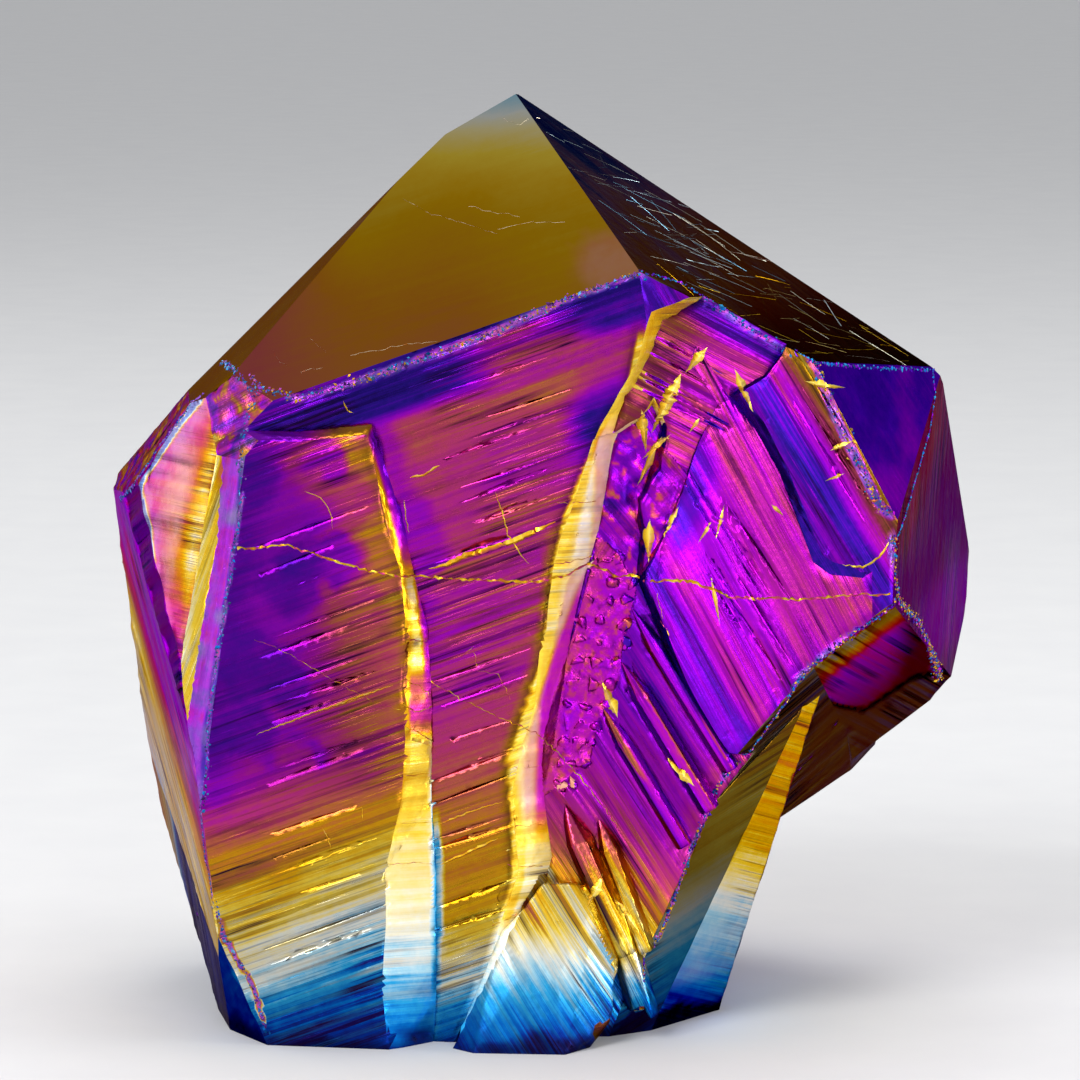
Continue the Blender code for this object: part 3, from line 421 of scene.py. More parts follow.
def soft_noise(points, seed):
    """Smooth noise from -1 to 1 at each point, with lumps about one unit across."""
    corner = np.floor(points).astype(np.int64)
    part = points - corner
    part = part * part * (3 - 2 * part)
    total = np.zeros(len(points))
    for step in itertools.product((0, 1), repeat=3):
        mixed = np.bitwise_xor.reduce((corner + step) * MIXERS, axis=1) ^ (seed * SEED_MIXER)
        mixed = (mixed ^ (mixed >> 13)) * LAST_MIXER
        value = ((mixed ^ (mixed >> 16)) & 0xFFFF) / 32767.5 - 1
        weight = np.where(step, part, 1 - part)
        total += value * (weight[:, 0] * weight[:, 1]) * weight[:, 2]
    return total


# ---------------------------------------------------------------- the skin

LINES_APART = 3.7       # how far apart the streaks of one facet and the next are taken from the noise
ROUGH_EDGE = 0.45       # longest edge of the finished skin where the front is broken and rough, in mm
FINE_EDGE = 1           # on the ribbed front
SIDE_EDGE = 1.65        # on the ribbed sides and back
PLAIN_EDGE = 2.5        # on polished faces and the base
SIDE_DEPTH = -12        # the sides begin this far back
SPLIT_ROUNDS = 9        # enough to bring every edge under its length
WEAR, NICK = 0.05, 0.22     # depth of the wear on edges and of its nicks
CRUMB = 0.22            # height of the crumbs along a seam
SOFT_CORNER = 35        # degrees between faces of one facet beyond which an edge shows


def select_only(thing):
    """Select one object, so that an operator acts on it alone."""
    bpy.ops.object.select_all(action="DESELECT")
    thing.select_set(True)
    bpy.context.view_layer.objects.active = thing


def copy_of_node(name, new_name):
    """A copy of a carved solid, with its loose triangles joined up."""
    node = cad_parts[name]
    skin = node.copy()
    skin.data = node.data.copy()
    skin.name = skin.data.name = new_name
    for key in list(skin.keys()):
        del skin[key]
    skin.parent = None
    bpy.context.collection.objects.link(skin)
    select_only(skin)
    bpy.ops.object.mode_set(mode="EDIT")
    bpy.ops.mesh.select_all(action="SELECT")
    bpy.ops.mesh.remove_doubles(threshold=1e-6)
    bpy.ops.object.mode_set(mode="OBJECT")
    return skin


def drawing_places(mesh):
    """The vertices' places in the drawing, in mm."""
    flat = np.zeros(len(mesh.vertices) * 3)
    mesh.vertices.foreach_get("co", flat)
    return flat.reshape(-1, 3) / MM - DRAWING_ZERO


def face_facts(mesh):
    """Middle, direction and corners of each triangle, in the drawing."""
    corners = np.zeros(len(mesh.polygons) * 3, np.int64)
    mesh.polygons.foreach_get("vertices", corners)
    corners = corners.reshape(-1, 3)
    places = drawing_places(mesh)[corners]
    across = np.cross(places[:, 1] - places[:, 0], places[:, 2] - places[:, 0])
    length = np.linalg.norm(across, axis=1)
    return places.mean(axis=1), across / np.maximum(length, 1e-9)[:, None], corners


def nearest_line(across, up, lines):
    """The gap from each point to the nearest of several lines."""
    return np.min([gap_to_line(across, up, line) for line in lines], axis=0)


def name_faces(skin):
    """Give each face the number of the facet or the broken place that it belongs to."""
    middle, direction, corners = face_facts(skin.data)
    places = drawing_places(skin.data)[corners]
    x, y, z = middle.T
    part = np.full(len(middle), -1)
    nearest = np.full(len(middle), FAR)
    for name in PLANES:
        facing, tilt, distance = LOOKS[name]["facet"]
        way = outward(facing, tilt)
        gap = np.abs((middle - HEART) @ way - distance)
        fits = (direction @ way > SAME_WAY) & (gap < SAME_PLACE) & (gap < nearest)
        part[fits] = NAMES.index(name)
        nearest[fits] = gap[fits]
    loose = part < 0
    front = loose & (y < FRONT_DEPTH)
    # a riser is what lies nearest to its line
    gaps = {name: gap_to_line(x, z, line) for name, line in RISERS.items()}
    closest = np.min(list(gaps.values()), axis=0)
    part[loose] = NAMES.index("riser")
    for name, gap in gaps.items():
        part[front & (gap == closest) & (closest < RISER_REACH)] = NAMES.index(name)
    # carved growth lines lie a little under their plate, on their own side of the second riser
    beyond = past_line(x, z, RISERS["second riser"]) > 0
    for name in GROOVED:
        facing, tilt, distance = LOOKS[name]["facet"]
        way = outward(facing, tilt)
        depth = distance - (places - HEART) @ way
        fits = loose & (depth > -SAME_PLACE).all(axis=1) & (depth < GROOVE_DEPTH).all(axis=1)
        fits &= (direction @ way > 0.3) & ((closest > RISER_WIDTH) | (y > FRONT_DEPTH))
        if name in ("first plate", "second plate"):
            fits &= ~beyond
        if name in ("upper hollow", "fourth plate", "fifth plate"):
            fits &= beyond
        part[fits] = NAMES.index(name)
    part[loose & (part == NAMES.index("riser")) & (y > BACK_DEPTH)] = NAMES.index("back riser")
    part[front & inside(x, z, FIRST_BRINK + FIRST_FOOT[::-1])] = NAMES.index("first riser")
    # what is broken, in front of the plates; the fan lies right of a slanting line
    gold = front & (nearest_line(x, z, GOLD_BLADES) < GOLD_REACH) & (y < GOLD_DEPTH)
    violet = front & (nearest_line(x, z, VIOLET_BLADES) < VIOLET_REACH)
    fan = front & (x > -10.5 + 0.5 * z) & (x < 10) & (z < 20.5) & ~gold
    hollow = np.isin(part, [NAMES.index(name) for name in ("upper hollow", "lower hollow")])
    beside = gaps["second riser"]
    rough = inside(x, z, ROUGH_ZONE) & (y < FRONT_DEPTH) & (loose | hollow) & ~violet & (beside > 2)
    broken = inside(x, z, BROKEN_HOLLOW) & (y < FRONT_DEPTH) & (hollow | (loose & (beside > 2.6)))
    broken &= gaps["fourth riser"] > 0.8
    lip = front & (z < 3.6 + 0.8 * soft_noise(middle * 0.4, 9)) & (x > 6.5) & (direction[:, 2] < 0.3)
    strip = (part == NAMES.index("gold hatch")) & (gap_to_line(x, z, FRONT_LEFT_EDGE) < STRIP_WIDTH)
    for name, place in (("broken hollow", broken), ("seam strip", strip), ("violet blades", violet),
                        ("rough zone", rough), ("fan", fan), ("gold blades", gold), ("lip", lip & ~gold)):
        part[place] = NAMES.index(name)
    numbers = skin.data.attributes.get("part") or skin.data.attributes.new("part", "INT", "FACE")
    numbers.data.foreach_set("value", part.astype(np.int32))


def longest_edge(edge, layer):
    """How long an edge of the finished skin may be, from the faces beside it."""
    middle = (edge.verts[0].co + edge.verts[1].co) / (2 * MM)
    names = [NAMES[face[layer]] for face in edge.link_faces]
    if middle.z < 0.5 or not any(LOOKS[name]["ribs"] or LOOKS[name]["lumps"] for name in names):
        return PLAIN_EDGE
    if middle.y > SIDE_DEPTH:
        return SIDE_EDGE
    low, high, foot_middle, lean, half_width = ROUGH_BAND
    if low < middle.z < high and abs(middle.x - foot_middle - lean * (middle.z - low)) < half_width:
        return ROUGH_EDGE
    return FINE_EDGE


def split_long_edges(skin):
    """Cut edges at their middles until none is longer than the skin's grain."""
    select_only(skin)
    bpy.ops.object.mode_set(mode="EDIT")
    for _ in range(SPLIT_ROUNDS):
        shape = bmesh.from_edit_mesh(skin.data)
        layer = shape.faces.layers.int["part"]
        found = 0
        for edge in shape.edges:
            length = edge.calc_length() / MM
            edge.select = length > ROUGH_EDGE and length > longest_edge(edge, layer)
            found += edge.select
        bmesh.update_edit_mesh(skin.data)
        if not found:
            break
        bpy.ops.mesh.select_mode(type="EDGE")
        bpy.ops.mesh.subdivide(number_cuts=1, quadcorner="INNERVERT")
        bpy.ops.mesh.select_all(action="SELECT")
        bpy.ops.mesh.quads_convert_to_tris(quad_method="SHORTEST_DIAGONAL", ngon_method="BEAUTY")
    bpy.ops.object.mode_set(mode="OBJECT")


def part_numbers(mesh):
    """The number of the facet that each face belongs to."""
    part = np.zeros(len(mesh.polygons), np.int32)
    mesh.attributes["part"].data.foreach_get("value", part)
    return part


def growth_lines(places, side, lean):
    """Each place's distance along and square to the growth lines."""
    across, up = seen_across(places, side), places[:, 2]
    angle = math.radians(lean)
    return (across * math.cos(angle) + up * math.sin(angle), up * math.cos(angle) - across * math.sin(angle))


def even_steps(line, gap, fewest=1):
    """Places along a line of corners, about gap apart."""
    result = []
    for start, end in zip(line, line[1:]):
        start, end = np.array(start, float), np.array(end, float)
        count = max(fewest, int(np.linalg.norm(end - start) / gap))
        result += [start + (end - start) * step / count for step in range(count)]
    return result + [np.array(line[-1], float)]


def seam_gaps(places):
    """How far each place is from the nearest seam, as a share of that seam's width."""
    points = [(point, width) for _, width, line in SEAMS for point in even_steps(line, 0.3, 2)[:-1]]
    widths = [width for _, width in points]
    tree = KDTree(len(points))
    for number, (point, _) in enumerate(points):
        tree.insert(point, number)
    tree.balance()
    gaps = np.full(len(places), FAR)
    for number in np.nonzero(places[:, 1] < SEAMS_END)[0]:
        _, index, distance = tree.find(places[number])
        gaps[number] = distance / widths[index]
    return gaps


def raise_skin(skin):
    """Push the vertices out and in: ribs along the growth lines, lumps, and worn edges."""
    mesh = skin.data
    _, direction, corners = face_facts(mesh)
    part = part_numbers(mesh)
    count = len(mesh.vertices)
    places = drawing_places(mesh)
    ways = np.zeros((count, 3))
    height, share = np.zeros(count), np.zeros(count)
    for index in corners.T:
        np.add.at(ways, index, direction)
    for number, name in enumerate(NAMES):
        rows = corners[part == number]
        if not len(rows):
            continue
        chosen, used = np.unique(rows.ravel(), return_counts=True)
        here, facts = places[chosen], LOOKS[name]
        rise = np.zeros(len(chosen))
        if facts["ribs"]:
            along, square = growth_lines(here, facts["side"], facts["lean"])
            none = along * 0
            square = square + 0.6 * soft_noise(np.stack((along * 0.06, square * 0.15, none), 1), number)
            broad = soft_noise(np.stack((along * 0.035, square * 0.42, none + number), 1), 3)
            narrow = soft_noise(np.stack((along * 0.05, square * 1.1, none + number), 1), 5)
            rise += facts["ribs"] * (1.3 * broad + 0.55 * narrow)
        if facts["lumps"]:
            if name in BIG_LUMPS:
                lumps = 1.3 * soft_noise(here * 0.5, number) + 0.35 * soft_noise(here * 1.1, number + 40)
            else:
                lumps = 0.8 * np.abs(soft_noise(here * 0.55, number))
                lumps = lumps + 0.5 * soft_noise(here * 1.25, number + 40) - 0.35
            rise += facts["lumps"] * lumps
        height[chosen] += rise * used
        share[chosen] += used
    height /= np.maximum(share, 1)
    length = np.linalg.norm(ways, axis=1)
    ways /= np.maximum(length, 1e-9)[:, None]
    # a vertex between facets that turn away from each other is worn, unless one is polished
    polished = np.array([not (LOOKS[name]["ribs"] or LOOKS[name]["lumps"]) for name in NAMES])
    turned = np.ones(count)
    least, most = np.full(count, len(NAMES)), np.full(count, -1)
    plain = np.zeros(count, bool)
    for index in corners.T:
        np.minimum.at(turned, index, (direction * ways[index]).sum(axis=1))
        np.minimum.at(least, index, part)
        np.maximum.at(most, index, part)
        plain[index[polished[part]]] = True
    worn = smooth(0.995, 0.94, turned) * (least != most) * ~plain
    nicks = soft_noise(places * 0.45, 77) * 0.5 + 0.5
    height = height * (1 - 0.6 * worn) - worn * (WEAR + NICK * nicks ** 2)
    # the seams between the faces are crumbled
    crumbled = smooth(1, 0.3, seam_gaps(places)) * ~plain
    height += crumbled * CRUMB * (soft_noise(places * 1.1, 91) + 0.7 * soft_noise(places * 2.1, 92))
    keep = smooth(0.05, 0.8, places[:, 2])      # the sawn base stays flat
    moved = places + ways * (height * keep)[:, None]
    moved[:, 2] = np.maximum(moved[:, 2], 0)
    mesh.vertices.foreach_set("co", ((moved + DRAWING_ZERO) * MM).ravel())
    mesh.update()


def crisp_edges(skin):
    """Shade each facet as one smooth face, with a crisp edge where it meets another."""
    select_only(skin)
    bpy.ops.object.shade_smooth_by_angle(angle=math.radians(SOFT_CORNER))
    bpy.ops.object.mode_set(mode="EDIT")
    shape = bmesh.from_edit_mesh(skin.data)
    layer = shape.faces.layers.int["part"]
    for edge in shape.edges:
        if len({face[layer] for face in edge.link_faces}) > 1:
            edge.smooth = False
    bmesh.update_edit_mesh(skin.data)
    bpy.ops.object.mode_set(mode="OBJECT")


def towards(value, goal, share):
    """Move a value a share of the way to a goal."""
    return value + (goal - value) * share


class Paint:
    """The coating on one facet, place by place: its film, paleness and darkness, laid on in steps."""

    def __init__(self, name, here):
        facts = LOOKS[name]
        self.here, self.x, self.z = here, here[:, 0], here[:, 2]
        self.wander = soft_noise(here * 0.09, 21)
        level = self.z
        if facts["tint_lean"]:
            across = seen_across(here, facts["side"]) - facts["zero"]
            level = level - across * math.tan(math.radians(facts["tint_lean"]))
        self.film = 0.02 * self.wander + self.values(facts["film"], level)
        self.pale = self.values(facts["pale"], self.z)
        self.dark = self.values(facts["dark"], self.z)

    def values(self, value, level):
        """One value everywhere, or one read from stops."""
        return read_stops(level, value) if isinstance(value, list) else np.full(len(level), float(value))

    def tint(self, film, share):
        """Bring the film nearer to a thickness."""
        self.film = towards(self.film, film, share)

    def shade(self, dark, share):
        """Bring the darkness nearer to a value."""
        self.dark = towards(self.dark, dark, share)

    def gap(self, line):
        return gap_to_line(self.x, self.z, line)

    def near(self, line, far, close, wander=0):
        """1 at places closer to a line than close, and 0 beyond far."""
        return smooth(far, close, self.gap(line) + wander * self.wander)

    def spot(self, x, z, far, close, wide=1, high=1, wander=0):
        """1 at places closer to a point than close, and 0 beyond far."""
        away = np.hypot((self.x - x) * wide, (self.z - z) * high)
        return smooth(far, close, away + wander * self.wander)

    def up(self, low, high):
        """0 at one height and 1 at another."""
        return smooth(low, high, self.z)

    def square(self, lean):
        """Distance square to growth lines that lean."""
        return growth_lines(self.here, FRONT, lean)[1]

    def cells(self, fineness, seed):
        return soft_noise(self.here * fineness, seed)

    def streaks(self):
        """Broad soft streaks along the growth lines of the two front plates."""
        return soft_noise(np.stack((self.x * 0.03 + self.z * 0.012, (self.z - self.x * 0.38) * 0.45,
                                    self.x * 0), 1), 74)


def gold_cap(paint):
    """A rosy patch at the right corner and a bronze left end."""
    patch = paint.spot(9, 95, 4.5, 2.5, wide=0.8, wander=0.5)
    paint.tint(0.53, patch)
    paint.pale = 0.16 * patch
    paint.shade(0.48, patch)
    paint.tint(0.59, smooth(-22, -36, paint.x))
    paint.dark = paint.dark - 0.08 * paint.up(98, 106)


def first_plate(paint):
    """Blue foot, cream, gold and bronze, then violet on the left and rose on the right."""
    x, z = paint.x, paint.z
    spread = 0.36 + 0.30 * smooth(18, 34, z + 0.5 * (x + 27))
    level = z - (x + 27) * spread + 1.5 * paint.wander
    paint.film = read_stops(level, LOOKS["first plate"]["film"])
    # bronze beside the riser, rose further in, then violet with deep-blue clouds
    shift = 2.2 * paint.wander
    streaks = paint.streaks()
    gap = paint.gap(FIRST_BRINK) + shift + 3 * streaks
    side = paint.up(30, 38) * paint.up(76, 72)
    paint.tint(0.60, 0.85 * side * smooth(14, 9, gap + 0.12 * np.abs(z - 50)))
    paint.tint(0.53, 0.8 * side * smooth(4.5, 1.5, gap))
    shift = shift + 2 * streaks + 1.6 * paint.cells(0.5, 75)
    for cloud_x, cloud_z, size in BLUE_CLOUDS:
        cloud = np.hypot(x - cloud_x, (z - cloud_z) * 1.3) + shift
        paint.tint(0.90, 0.65 * smooth(size, size * 0.5, cloud))
    paint.tint(0.90, 0.6 * paint.near(FRONT_LEFT_EDGE, 5, 0.5, 1) * paint.up(24, 34))
    paint.dark = paint.dark + 0.22 * smooth(-16, -26, x + 0.3 * (z - 50)) * paint.up(28, 36)
    # painted shade: a dark line along the first riser's brink
    paint.shade(0.55, paint.near(FIRST_BRINK, 1.6, 0.4) * paint.up(30, 40))


def on_second_riser(x, z):
    """1 on the second riser's side of its brink and 0 on the plate beside it."""
    return smooth(-0.1, 0.3, past_line(x, z, SECOND_BRINK)) * smooth(87.5, 86, z)


def second_plate(paint):
    """A deep-blue band below the point, the gold ledge's glow, painted shade at the brink, and the rest of
    the second riser.
    """
    streaks = paint.streaks()
    paint.tint(0.96, paint.near(CAP_LINE, 6.8, 4.4, 0.8) * paint.up(70, 74))
    paint.tint(0.94, paint.spot(8, 77, 6, 2, high=0.6, wander=1))
    paint.tint(0.56, 0.7 * paint.spot(1, 83, 6.5, 2, wide=0.45, wander=1))
    paint.tint(0.17, paint.near(FIRST_FOOT, 0.7, 0.2) * paint.up(30, 24))
    beside = paint.gap(FIRST_FOOT) + paint.wander + 3 * streaks
    paint.tint(0.84, 0.6 * smooth(3, 0.5, beside) * paint.up(44, 56))
    paint.tint(0.80, 0.5 * smooth(0.2, 0.6, streaks) * paint.up(36, 44))
    # painted shade along the second riser's brink: this line turns the film bronze, and the darkening near
    # SECOND_BRINK below makes it olive
    paint.tint(0.50, 0.7 * paint.near(SECOND_BRINK, 1.5, 0.3, 0.5) * paint.up(20, 26) * paint.up(66, 60))
    paint.shade(0.5, paint.near(CAP_LINE, 6, 3) * paint.up(70, 74))
    paint.shade(0.6, paint.near(SECOND_BRINK, 1.4, 0.3) * paint.up(20, 26))
    riser = Paint("second riser", paint.here)
    second_riser(riser)
    share = on_second_riser(paint.x, paint.z)
    paint.tint(riser.film, share)
    paint.pale = towards(paint.pale, riser.pale, share)
    paint.shade(riser.dark, share)
    # painted shadow: a thin dark line along the step at the second riser's brink
    rim = smooth(0.4, 0.1, np.abs(past_line(paint.x, paint.z, SECOND_BRINK) + 0.15))
    paint.shade(0.8, 0.8 * rim * paint.up(16, 22) * paint.up(87, 84))


def upper_hollow(paint):
    paint.tint(0.60, 0.8 * paint.near(SECOND_FOOT, 7, 1, 1))
    paint.shade(0.72, paint.near(SECOND_FOOT, 8, 2, 1))
    paint.tint(0.93, paint.near(CAP_LINE, 3.5, 1))


def lower_hollow(paint):
    paint.tint(0.93, paint.near(RISERS["fourth riser"], 3, 1))
    paint.tint(0.68, 0.7 * paint.near(WAIST_LINE, 4, 1, 1) * paint.up(18, 24))
    paint.shade(0.15, paint.up(26, 18))


def fourth_plate(paint):
    """Blue along its left edge, violet in the middle and rose to the right."""
    brink = RISERS["fourth riser"]
    paint.tint(0.90, paint.near(brink, 3.6, 1, 0.8))
    paint.tint(0.86, paint.near(brink, 7, 3, 1) * paint.up(58, 50))
    paint.tint(0.92, paint.near(WAIST_LINE, 2.6, 0.6, 0.6) * paint.up(50, 46))
    streak = smooth(2.6, 0.8, np.abs(paint.square(-66) - 50 + paint.wander))
    paint.tint(0.70, 0.6 * streak)
    rosy = smooth(15, 30, paint.x + 0.25 * (paint.z - 60) + 2 * paint.wander + 6 * (streak - 0.5))
    paint.tint(0.70, 0.6 * rosy)
    paint.dark = paint.dark + 0.25 * rosy
    paint.tint(0.62, 0.7 * smooth(34, 40, paint.x) * paint.up(52, 54))
    paint.tint(0.62, 0.6 * smooth(1.8, 0.4, np.abs(paint.square(-60) - 43.5 + paint.wander)))
    paint.tint(0.90, paint.spot(42, 56, 3, 1, wide=0.6))


def fifth_plate(paint):
    """Bands along the growth lines, from blue at the brink to gold at the head."""
    bands = paint.square(-59)
    paint.film = read_stops(bands, LOOKS["fifth plate"]["film"]) + 0.02 * paint.wander
    paint.dark = read_stops(bands, LOOKS["fifth plate"]["dark"])


def rose_leaf(paint):
    """Yellow on the right, rose in the middle and violet outside, with a blue rim."""
    inner = paint.gap(GOLD_HATCH_EDGE)
    outer = paint.gap(LEAF_OUTER_EDGE)
    paint.film = read_stops(inner / (inner + outer), LOOKS["rose leaf"]["film"]) + 0.03 * paint.wander
    paint.tint(0.73, 0.7 * paint.up(58, 50))
    paint.tint(0.70, 0.5 * paint.up(68, 77) * smooth(0.8, 2, inner))
    paint.tint(0.12, smooth(0.75, 0.35, outer))
    paint.pale = 0.10 + 0.26 * smooth(1, 3, inner) * paint.up(50, 58)


def gold_hatch(paint):
    paint.tint(0.37, paint.near(GOLD_HATCH_EDGE, 1.2, 0.5))
    paint.tint(0.74, 0.8 * paint.up(66, 72) * paint.near(GOLD_HATCH_EDGE, 0.8, 1.6))


def seam_strip(paint):
    cells = paint.cells(0.5, 61)
    paint.film = read_stops(cells, LOOKS["seam strip"]["film"]) + 0.02 * paint.wander
    paint.tint(0.88, 0.7 * paint.up(42, 32))
    paint.pale = read_stops(cells, [(-0.3, 0.22), (0, 0.12), (0.4, 0.05)])
    paint.tint(0.95, paint.near(FRONT_LEFT_EDGE, 0.8, 0.3))


def chipped_corner(paint):
    cells = paint.cells(0.9, 68)
    paint.film = np.select([cells > 0.3, cells > -0.1, cells > -0.3], [0.50, 0.72, paint.film], 0.86)


def violet_face(paint):
    """Rose along its front edge, and a painted highlight low down."""
    paint.tint(0.64, paint.near(VIOLET_EDGE, 3.4, 0.8))
    paint.shade(0.30, paint.near(VIOLET_EDGE, 3, 0.6))
    # painted highlight: a bright violet spot low on the face
    glow = paint.spot(52, 48.5, 7, 2, high=0.9, wander=1.5)
    paint.tint(0.77, glow)
    paint.shade(0.05, glow)


def indigo_face(paint):
    paint.tint(0.83, 0.9 * smooth(-0.1, 0.5, paint.cells(0.22, 62)))
    paint.dark = paint.dark - 0.1 * smooth(0, 0.6, paint.cells(0.5, 67))


def under_head(paint):
    """Olive, red and magenta bands along the waist, ending at a dark curved foot."""
    band = paint.gap(WAIST_LINE[:4]) + 0.6 * paint.wander
    paint.film = read_stops(band, LOOKS["under head"]["film"])
    paint.dark = read_stops(band, LOOKS["under head"]["dark"])
    paint.tint(0.64, 0.8 * smooth(43, 47.5, paint.x))
    paint.shade(0.72, smooth(42, 46, paint.x))
    over = paint.z - read_stops(paint.x, UNDER_HEAD_FOOT) + 0.5 * paint.wander
    paint.tint(0.335, smooth(0.2, -0.2, over))
    paint.shade(0.79, smooth(0.2, -0.2, over))
    paint.shade(0.9, smooth(0.7, 0.2, np.abs(over)))


def gold_foot(paint):
    paint.pale = 0.22 * paint.up(4, 8) * paint.up(14, 11)


def lower_flank(paint):
    paint.pale = 0.25 * paint.up(14, 22) * paint.up(40, 34)


def first_riser(paint):
    """Bands across it, a yellow brink, and a foot that is blue below and violet above."""
    paint.tint(0.46, paint.near(FIRST_BRINK, 0.55, 0.2) * paint.up(24, 32))
    paint.tint(0.17, paint.near(FIRST_FOOT, 0.7, 0.3) * paint.up(40, 26))
    paint.tint(0.74, paint.near(FIRST_FOOT, 0.9, 0.4) * paint.up(38, 46))
    paint.tint(0.86, paint.near(FIRST_FOOT, 1.8, 0.8) * paint.up(60, 63))
    ledge = paint.up(71.5, 73)
    paint.tint(0.84, ledge * smooth(-23, -30, paint.x))
    paint.dark = 0.15 * paint.up(57, 60) + 0.45 * ledge
    paint.shade(0.55, smooth(0.3, 0.1, np.abs(paint.z - 50 - 0.05 * paint.x)))
    paint.shade(0.45, smooth(0.5, 0.2, np.abs(paint.z - 39)) + smooth(0.4, 0.15, np.abs(paint.z - 42.7)))


def second_riser(paint):
    """Yellow at the brink, pale rose inside, and violet where it meets the rough ground."""
    inner = paint.gap(SECOND_FOOT)
    outer = paint.gap(SECOND_BRINK)
    depth = outer / (outer + inner)
    middle = paint.up(24, 31) * paint.up(61, 55)
    high = paint.up(54, 60) * paint.up(78, 72)
    pink = smooth(1, 2, outer + 0.4 * paint.wander) * middle
    paint.tint(0.58, 0.85 * pink)
    paint.tint(0.72, smooth(1.4, 0.6, inner + 0.4 * paint.wander) * middle)
    paint.tint(0.42, smooth(0.52, 0.40, depth) * paint.up(12, 18))
    paint.tint(0.66, 0.7 * smooth(1.5, 0.5, inner) * high)
    paint.pale = 0.6 * high * smooth(0.34, 0.56, depth) + 0.45 * pink * smooth(0.6, 1.6, inner)
    paint.dark = 0.30 * paint.up(74, 84)


def broken_hollow(paint):
    paint.film = paint.film + 0.09 * paint.cells(0.5, 69)
    # painted glints: bright rose specks
    glint = smooth(0.25, 0.6, paint.cells(1.5, 70))
    paint.tint(0.62, glint)
    paint.shade(0.25, glint)


def rough_zone(paint):
    paint.film = paint.film + 0.04 * paint.cells(0.35, 71)
    # painted glints: rose specks
    paint.tint(0.60, 0.7 * smooth(0.2, 0.6, paint.cells(2.2, 72)))
    paint.tint(0.62, 0.5 * paint.near(SECOND_FOOT, 2.5, 0.5, 1))
    paint.shade(0.6, smooth(0.35, 0.75, paint.cells(1.7, 73)))


def violet_blades(paint):
    bands, none = paint.square(-59), paint.z * 0
    paint.film = paint.film + 0.09 * soft_noise(np.stack((bands * 1.3, none, none), 1), 63)
    bright = soft_noise(np.stack((bands * 2.1, paint.z * 0.08, none), 1), 64)
    paint.tint(0.55, 0.8 * smooth(0.35, 0.6, bright))


PAINTERS = {
    "gold cap": gold_cap, "first plate": first_plate, "second plate": second_plate,
    "upper hollow": upper_hollow, "lower hollow": lower_hollow, "fourth plate": fourth_plate,
    "fifth plate": fifth_plate, "rose leaf": rose_leaf, "gold hatch": gold_hatch, "seam strip": seam_strip,
    "corner chip": chipped_corner, "shoulder": chipped_corner, "violet": violet_face, "indigo": indigo_face,
    "under head": under_head, "gold foot": gold_foot, "lower flank": lower_flank, "first riser": first_riser,
    "second riser": second_riser, "broken hollow": broken_hollow, "rough zone": rough_zone,
    "violet blades": violet_blades,
}


def wear(name, paint):
    """Darker along the bottom edge, bare dark stone where the foot is broken, and crumbs of every tint along
    the seams.
    """
    if name != "base":
        # darker and bluer within about 2 mm of the bottom edge
        dark_bottom_edge = smooth(2.2, 0.6, paint.z + 1.6 * paint.cells(0.35, 76))
        paint.tint(0, 0.5 * dark_bottom_edge)
        paint.shade(0.8, 0.8 * dark_bottom_edge)
    if name in BROKEN_AT_FOOT:
        over = paint.z - read_stops(paint.x, BROKEN_FOOT) - 0.5 * paint.cells(0.7, 79)
        broken = smooth(0.4, -0.4, over) * (paint.here[:, 1] < -10)
        paint.tint(0, broken)
        paint.shade(0.7 + 0.2 * paint.cells(0.6, 78), broken)
    if LOOKS[name]["ribs"] or LOOKS[name]["lumps"]:
        speckle = paint.cells(1.3, 65)
        crumbled = smooth(0.75, 0.4, seam_gaps(paint.here))
        paint.tint(np.select([speckle > 0.15, speckle > -0.25], [0.83, 0.93], 0.74), crumbled)
        paint.pale = towards(paint.pale, 0.15, crumbled)
        paint.shade(0.25, crumbled)


def film_on(name, here):
    """Film thickness, paleness and darkness at places on one facet."""
    paint = Paint(name, here)
    if name in PAINTERS:
        PAINTERS[name](paint)
    wear(name, paint)
    return np.clip(paint.film, 0, 1), np.clip(paint.pale, 0, 1), np.clip(paint.dark, 0, 0.97)


def quiet_share(name, here):
    """How strong the streaks are at each place: smooth patches lie among the streaked ones."""
    x, z = here[:, 0], here[:, 2]
    share = 0.35 + 0.75 * smooth(-0.35, 0.35, soft_noise(here * 0.11, 66))
    if name == "first plate":
        calm = smooth(-22, -30, x) * smooth(40, 46, z) * smooth(74, 70, z)
        share = share * (1 - 0.6 * calm) + 0.2 * (1 - calm)
    return share


def write_paint(mesh, film, lines, finish, grit):
    """Give a mesh the four things that the coating's material reads at every face corner."""
    mesh.attributes.new("film", "FLOAT", "CORNER").data.foreach_set("value", film)
    for title, values in (("lines", lines), ("finish", finish), ("grit", grit)):
        mesh.attributes.new(title, "FLOAT_VECTOR", "CORNER").data.foreach_set("vector", values.ravel())


